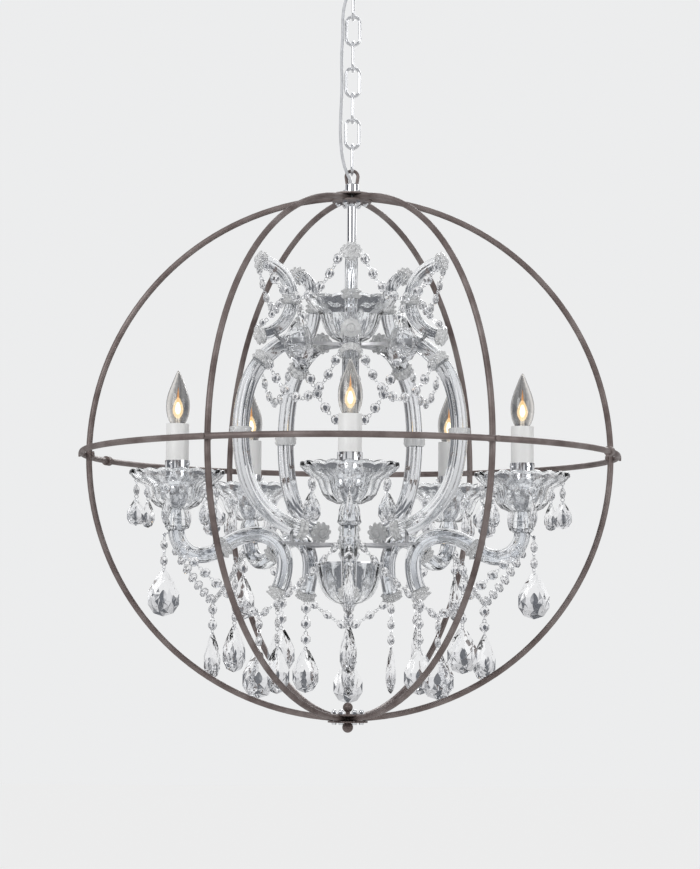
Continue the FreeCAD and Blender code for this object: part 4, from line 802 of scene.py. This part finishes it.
def ring_part(radius, wire):
    """A closed ring of wire in the plane of Y and Z."""
    across = np.array((1, 0, 0))
    rings = []
    for k in range(RING_TURNS):
        angle = 2 * pi * k / RING_TURNS
        out = np.array((0, cos(angle), sin(angle)))
        corners = [2 * pi * j / RING_SIDES for j in range(RING_SIDES)]
        rings.append([out * radius + (out * cos(c) + across * sin(c)) * wire for c in corners])
    return ringed(rings, loop_rows=True)


def placing(point, direction, face_azimuth):
    """To a point, Z along a direction and the flat turned to an azimuth."""
    spin = Matrix.Rotation(radians(face_azimuth - FRONT_AZIMUTH), 4, "Z")
    lean = UP.rotation_difference(Vector(direction)).to_matrix().to_4x4()
    return Matrix.Translation(tuple(point)) @ lean @ spin


LARGE_BEAD = (bead_part(BEAD_R, BEAD_T), BEAD_PITCH)
SMALL_BEAD = (bead_part(SMALL_BEAD_R, SMALL_BEAD_T), SMALL_BEAD_PITCH)
LINK = ring_part(RING_R, RING_WIRE)
DROP = drop_part(*DROP_SIZE)
RIM_DROP = drop_part(*RIM_DROP_SIZE)


def swag_nodes(start, end, sag, pitch):
    """Evenly spaced ends of the bead runs on a string that sags between two points."""
    shares = np.linspace(0.0, 1.0, SWAG_SAMPLES + 1)[:, None]
    line = start + (end - start) * shares - np.array((0, 0, 4 * sag)) * shares * (1 - shares)
    lengths = np.concatenate(([0.0], np.cumsum(np.linalg.norm(np.diff(line, axis=0), axis=1))))
    count = max(1, int(lengths[-1] / pitch))
    reach = np.linspace(0.0, lengths[-1], count + 1)
    return np.column_stack([np.interp(reach, lengths, line[:, axis]) for axis in range(3)])


class Strings:
    """The beads, rings and drops of several strings, kept apart by what they are made of."""

    def __init__(self):
        self.beads, self.rings, self.drops = [], [], []

    def kinds(self):
        """The three lists, in the order that their objects are made."""
        return self.beads, self.rings, self.drops

    def beads_along(self, nodes, face_azimuth, size):
        """One bead in the middle of each run and a ring at each node."""
        nodes = [np.array(node, float) for node in nodes]
        for k, node in enumerate(nodes):
            nearby = nodes[k + 1] - node if k + 1 < len(nodes) else node - nodes[k - 1]
            direction = Vector(nearby).normalized()
            for side, spin in ((-1, 0), (1, 90)):
                centre = Vector(node) + direction * (side * RING_SEAT)
                self.rings.append(moved(LINK, placing(centre, direction, face_azimuth + spin)))
        for start, end in zip(nodes, nodes[1:]):
            middle, direction = (start + end) / 2, Vector(end - start).normalized()
            self.beads.append(moved(size[0], placing(middle, direction, face_azimuth)))

    def swag(self, start, end, sag, face_azimuth, size=LARGE_BEAD):
        """A string that sags between two points."""
        nodes = swag_nodes(np.array(start, float), np.array(end, float), sag, size[1])
        self.beads_along(nodes, face_azimuth, size)

    def strand(self, top, count, drop, face_azimuth):
        """Beads straight down from a point with a drop at the end."""
        nodes = [np.array(top, float) - np.array((0, 0, BEAD_PITCH * k)) for k in range(count + 1)]
        self.beads_along(nodes, face_azimuth, LARGE_BEAD)
        self.drops.append(moved(drop, placing(nodes[-1], UP, face_azimuth)))

    def copied(self, matrices):
        """The same strings through each of the matrices."""
        whole = Strings()
        for matrix in matrices:
            for parts, own in zip(whole.kinds(), self.kinds()):
                parts += [moved(part, matrix) for part in own]
        return whole

    def add(self, other):
        """Another set of strings beside these."""
        for parts, more in zip(self.kinds(), other.kinds()):
            parts += more

    def make(self, name, body, replaces=()):
        """The objects of these strings, one for each kind of part."""
        looks = (("beads", "crystal", 0), ("links", "chrome", 40), ("drops", "crystal", 0))
        for (kind, material, smooth_angle), parts in zip(looks, self.kinds()):
            if not parts:
                continue
            piece("%s_%s" % (name, kind), joined(parts), material, body, replaces,
                  smooth_angle)
            replaces = ()


def polar(rho, azimuth, z, side=0.0):
    """A point by radius, azimuth and height, with a step to the left of the radius."""
    angle = radians(azimuth)
    return (rho * cos(angle) - side * sin(angle), rho * sin(angle) + side * cos(angle), z)


def lower_swag(gap):
    """The swag from one arm to the next, with the strand and drop at its lowest point."""
    strings = Strings()
    side = ARM_TUBE_R + ARM_STRING_GAP
    apex = polar(SWAG_APEX_RHO, UNIT_STEP / 2, SWAG_APEX_Z[gap])
    for azimuth, turn in ((0.0, 1), (UNIT_STEP, -1)):
        start = polar(ARM_RHO, azimuth, SWAG_START_Z, turn * side)
        strings.swag(start, apex, LOWER_SWAG_SAG, azimuth)
    strings.strand(apex, SWAG_DROP_BEADS, DROP, UNIT_STEP / 2 + SWAG_DROP_TURN[gap])
    return strings


def under_strands():
    """The strands under the middle and under the inner end of an arm."""
    strings = Strings()
    strings.strand((MID_STRAND_RHO, 0, MID_STRAND_TOP_Z), MID_STRAND_BEADS, DROP, MID_DROP_TURN)
    tail = arm_run()[0][-1]
    top = (tail[0] + INNER_STRAND_OUT, 0, tail[2] - ROSETTE_H)
    strings.strand(top, INNER_STRAND_BEADS, DROP, INNER_DROP_TURN)
    return strings


def horn_garland():
    """The string of small beads inside a horn, from its waist to the rosette at its low end."""
    strings = Strings()
    points, headings = horn_run()[:2]
    out, across = unit_vector(headings[0] + 180), unit_vector(headings[0] - 90)
    start = (HORN_RHO - HORN_R + HORN_ROSETTE_R + ROSETTE_STRING_GAP, 0, HORN_Z)
    end = points[0] + out * (ROSETTE_H / 2) + across * HORN_ROSETTE_R
    strings.swag(start, end, GARLAND_SAG, 90, SMALL_BEAD)
    return strings


def gap_swag(centre, side, sag):
    """A string across the gap to the next arm, between the same rosettes of both."""
    strings = Strings()
    start = polar(centre[0], 0, centre[2], side)
    strings.swag(start, polar(centre[0], UNIT_STEP, centre[2], -side), sag, UNIT_STEP / 2)
    return strings


def horn_swag():
    """The string from one horn's tip to the next."""
    points, headings = horn_run()[:2]
    centre = points[-1] + unit_vector(headings[-1]) * (ROSETTE_H / 2)
    return gap_swag(centre, HORN_ROSETTE_R + HORN_STRING_GAP, HORN_SWAG_SAG)


def upper_drop(hand):
    """The bead and drop that hang beside a horn's waist, on the side that the hand names."""
    strings = Strings()
    strings.strand(polar(UPPER_DROP_RHO, 0, UPPER_DROP_Z, hand * UPPER_DROP_SIDE), 1, DROP, 90)
    return strings


def rim_drops():
    """The small drops under the rim of a bobeche."""
    strings = Strings()
    strings.strand((RIM_DROP_RADIUS, 0, BOBECHE_RIM_Z - RIM_DROP_BELOW), 1, RIM_DROP, 90)
    place = Matrix.Translation((ARM_RHO, 0, 0))
    return strings.copied([place @ turned(index * 360.0 / RIM_DROPS) for index in range(RIM_DROPS)])


def make_crystal_strings():
    """Every fixed string of beads and its drops."""
    shoulder = lyre_shoulder()[0]
    lower, upper, rims = Strings(), Strings(), Strings()
    for index in range(UNITS):
        place = [unit_matrix(index)]
        lower.add(lower_swag(index).copied(place))
        lower.add(under_strands().copied(place))
        upper.add(horn_garland().copied(place))
        between = gap_swag(shoulder, ROSETTE_R + ROSETTE_STRING_GAP, LYRE_SWAG_SAGS[index])
        upper.add(between.copied(place))
        if index in HORN_SWAGS:
            upper.add(horn_swag().copied(place))
        rims.add(rim_drops().copied(place))
    for index, hand in UPPER_DROP_HANDS:
        upper.add(upper_drop(hand).copied([unit_matrix(index)]))
    lower.make("lower", "fixture", ["crystal_strands"])
    upper.make("upper", "fixture")
    rims.make("rim", "fixture")


def make_end_drops():
    """The large drops that swing from the arms' ends."""
    hook = Matrix.Translation((END_DROP_RHO, 0, END_DROP_HOOK_Z))
    eyelet = moved(ring_part(*EYELET_RING), hook @ turned(90))
    for index, turn in enumerate(END_DROP_TURNS):
        strings = Strings()
        strings.strand((END_DROP_RHO, 0, END_DROP_HOOK_Z - EYELET_R), 2, DROP, turn)
        strings.rings.append(eyelet)
        body = "arm_drop_%d" % (index + 1)
        strings.copied([unit_matrix(index)]).make(body, body, [body])


# ---- Bulbs ------------------------------------------------------------------------------------
def make_bulbs():
    """The candle bulbs: a clear envelope, a glowing filament and the threaded base."""
    z = SLEEVE_TOP_Z
    outline = [(0.0062, z - 0.001), (0.0092, z + 0.0005), (0.0118, z + 0.004), (0.0140, z + 0.010),
               (0.0153, z + 0.017), (0.0157, z + 0.023), (0.0153, z + 0.030), (0.0139, z + 0.037),
               (0.0117, z + 0.044), (0.0090, z + 0.051), (0.0062, z + 0.058), (0.0038, z + 0.064),
               (0.0018, z + 0.0685), (0.0002, z + 0.070)]
    inside = [(max(r - BULB_SKIN, AXIS_R), h if k else h + BULB_SKIN)
              for k, (r, h) in enumerate(outline)]
    inside[-1] = (AXIS_R, outline[-1][1] - 0.0016)
    envelope = turned_shell(outline + inside[::-1], 40)
    core = turned_solid([(AXIS_R, z + 0.0125), (0.0020, z + 0.0135), (0.0034, z + 0.0165),
                         (0.0038, z + 0.0195), (0.0030, z + 0.0240), (0.0015, z + 0.0280),
                         (AXIS_R, z + 0.0295)], 20)
    halo = turned_solid([(AXIS_R, z + 0.0070), (0.0040, z + 0.0095), (0.0066, z + 0.0145),
                         (0.0072, z + 0.0195), (0.0056, z + 0.0265), (0.0028, z + 0.0325),
                         (AXIS_R, z + 0.0355)], 24)
    amber = turned_solid([(AXIS_R, z + 0.0270), (0.0017, z + 0.0290), (0.0014, z + 0.0350),
                          (0.0008, z + 0.0420), (AXIS_R, z + 0.0480)], 16)
    stem = turned_solid([(AXIS_R, z - 0.001), (0.0032, z - 0.001), (0.0030, z + 0.006),
                         (0.0016, z + 0.013), (0.0014, z + 0.017), (AXIS_R, z + 0.018)], 16)
    base_low = z - BULB_BASE_H
    thread = [(AXIS_R, base_low), (0.0030, base_low), (0.0032, base_low + 0.0015),
              (0.0056, base_low + 0.003)]
    for k in range(THREAD_TURNS):
        height = base_low + 0.0035 + k * THREAD_PITCH
        thread += [(0.0060, height + 0.0006), (0.0055, height + 0.0017)]
    thread += [(0.0060, z - 0.0018), (0.0064, z - 0.0006), (AXIS_R, z - 0.0006)]
    base = turned_solid(thread, 32)
    inner = (("core", core, "glow_core"), ("halo", halo, "glow_halo"),
             ("amber", amber, "glow_amber"), ("stem", stem, "bulb_glass"))
    place = Matrix.Translation((ARM_RHO, 0, 0))
    for index in range(UNITS):
        body = "bulb_%d" % (index + 1)
        matrix = unit_matrix(index) @ place
        piece(body + "_envelope", moved(envelope, matrix), "bulb_glass", body,
              [body], 60)
        for kind, part, material in inner:
            piece("%s_%s" % (body, kind), moved(part, matrix), material, body, (), 60)
        piece(body + "_base", moved(base, matrix), "contact", body, (), 30)


# ---- Finishes and studio ----------------------------------------------------------------------
def finish_nodes():
    """Materials for the nodes whose shape stays, with painted screws at the equator."""
    for material, names in FINISHES.items():
        for name in names:
            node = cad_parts[name]
            node.data.materials.clear()
            node.data.materials.append(MATERIALS[material])
    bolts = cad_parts["cage_bolts"]
    bolts.data.materials.append(MATERIALS["bronze"])
    for polygon in bolts.data.polygons:
        height = (bolts.matrix_world @ polygon.center).z
        if abs(height - ORB_Z) < CROSSING_REACH:
            polygon.material_index = 1


def math_node(tree, operation, first, *values):
    """One step of arithmetic on a socket, with other sockets or plain numbers."""
    node = tree.nodes.new("ShaderNodeMath")
    node.operation = operation
    tree.links.new(first, node.inputs[0])
    for place, value in enumerate(values, 1):
        if isinstance(value, float):
            node.inputs[place].default_value = value
        else:
            tree.links.new(value, node.inputs[place])
    return node.outputs["Value"]


def mixed(tree, share, first, second):
    """Two shaders mixed by a share."""
    node = tree.nodes.new("ShaderNodeMixShader")
    for source, socket in ((share, "Fac"), (first, 1), (second, 2)):
        tree.links.new(source, node.inputs[socket])
    return node.outputs["Shader"]


def make_floor():
    """A wide pale floor under the chandelier, as bright as the backdrop where it is seen."""
    bpy.ops.mesh.primitive_plane_add(size=FLOOR_SIZE, location=(0, 0, FLOOR_Z))
    floor = bpy.context.object
    floor.name = "floor"
    material, shader = new_material("floor_pale", Base_Color=(*PALE, 1.0), Roughness=0.9)
    tree = material.node_tree
    rays = tree.nodes.new("ShaderNodeLightPath").outputs
    straight = math_node(tree, "MAXIMUM", rays["Is Camera Ray"], rays["Is Transmission Ray"])
    share = math_node(tree, "MULTIPLY", straight, FLOOR_GLOW)
    shine = tree.nodes.new("ShaderNodeEmission").outputs["Emission"]
    surface = mixed(tree, share, shader.outputs["BSDF"], shine)
    tree.links.new(surface, tree.nodes["Material Output"].inputs["Surface"])
    floor.data.materials.append(material)


def background(tree, colour, strength=1.0):
    """A plain background, or one whose colour comes from a socket."""
    node = tree.nodes.new("ShaderNodeBackground")
    node.inputs["Strength"].default_value = strength
    if isinstance(colour, tuple):
        node.inputs["Color"].default_value = (*colour, 1.0)
    else:
        tree.links.new(colour, node.inputs["Color"])
    return node.outputs["Background"]


def surround(tree, rays):
    """What metal and glass reflect: bands of grey by height under soft vertical cards."""
    nodes, links = tree.nodes, tree.links
    place = nodes.new("ShaderNodeTexCoord").outputs["Generated"]
    split = nodes.new("ShaderNodeSeparateXYZ")
    links.new(place, split.inputs["Vector"])
    greys = [(stop, (shade, shade, shade * SURROUND_BLUE)) for stop, shade in SURROUND_SHADES]
    bands = ramp(tree, math_node(tree, "MULTIPLY_ADD", split.outputs["Z"], 0.5, 0.5), greys)
    wave = nodes.new("ShaderNodeTexWave")
    for name, value in CARD_WAVE.items():
        wave.inputs[name].default_value = value
    links.new(place, wave.inputs["Vector"])
    tone = nodes.new("ShaderNodeMix")
    tone.data_type = "RGBA"
    tone.blend_type = "MULTIPLY"
    tone.inputs["Factor"].default_value = 1.0
    links.new(bands, tone.inputs["A"])
    links.new(ramp(tree, wave.outputs["Fac"], CARD_SHADES), tone.inputs["B"])
    depth = nodes.new("ShaderNodeGamma")
    links.new(tone.outputs["Result"], depth.inputs["Color"])
    deepen = math_node(tree, "MULTIPLY_ADD", rays["Is Glossy Ray"], GLOSS_DEEPENING, 1.0)
    links.new(deepen, depth.inputs["Gamma"])
    return depth.outputs["Color"]


def make_world():
    """Even light for the object, a pale backdrop, and a shaded surround for metal and glass."""
    world = bpy.data.worlds.new("studio")
    bpy.context.scene.world = world
    world.use_nodes = True
    tree = world.node_tree
    tree.nodes.clear()
    rays = tree.nodes.new("ShaderNodeLightPath").outputs
    shiny = math_node(tree, "MAXIMUM", rays["Is Glossy Ray"], rays["Is Transmission Ray"])
    ambient = background(tree, (1.0, 1.0, 1.0), AMBIENT)
    mirror = mixed(tree, shiny, ambient, background(tree, surround(tree, rays)))
    final = mixed(tree, rays["Is Camera Ray"], mirror, background(tree, PALE))
    output = tree.nodes.new("ShaderNodeOutputWorld")
    tree.links.new(final, output.inputs["Surface"])


def make_lights():
    """Soft square lights turned to the orb: key upper left, weaker fill right, rim behind."""
    for name, place, size, power in LIGHTS:
        data = bpy.data.lights.new(name, "AREA")
        data.size = size
        data.energy = power
        light = bpy.data.objects.new(name, data)
        light.visible_transmission = False
        light.location = place
        aim = Vector((0, 0, ORB_Z)) - Vector(place)
        light.rotation_euler = aim.to_track_quat("-Z", "Y").to_euler()
        bpy.context.collection.objects.link(light)


make_camera()
make_cord(MATERIALS["cord"])
make_tubes()
make_rosettes()
make_dishes()
make_column()
make_crystal_strings()
make_end_drops()
make_bulbs()
finish_nodes()
make_floor()
make_world()
make_lights()
bpy.context.scene.view_settings.view_transform = "Standard"
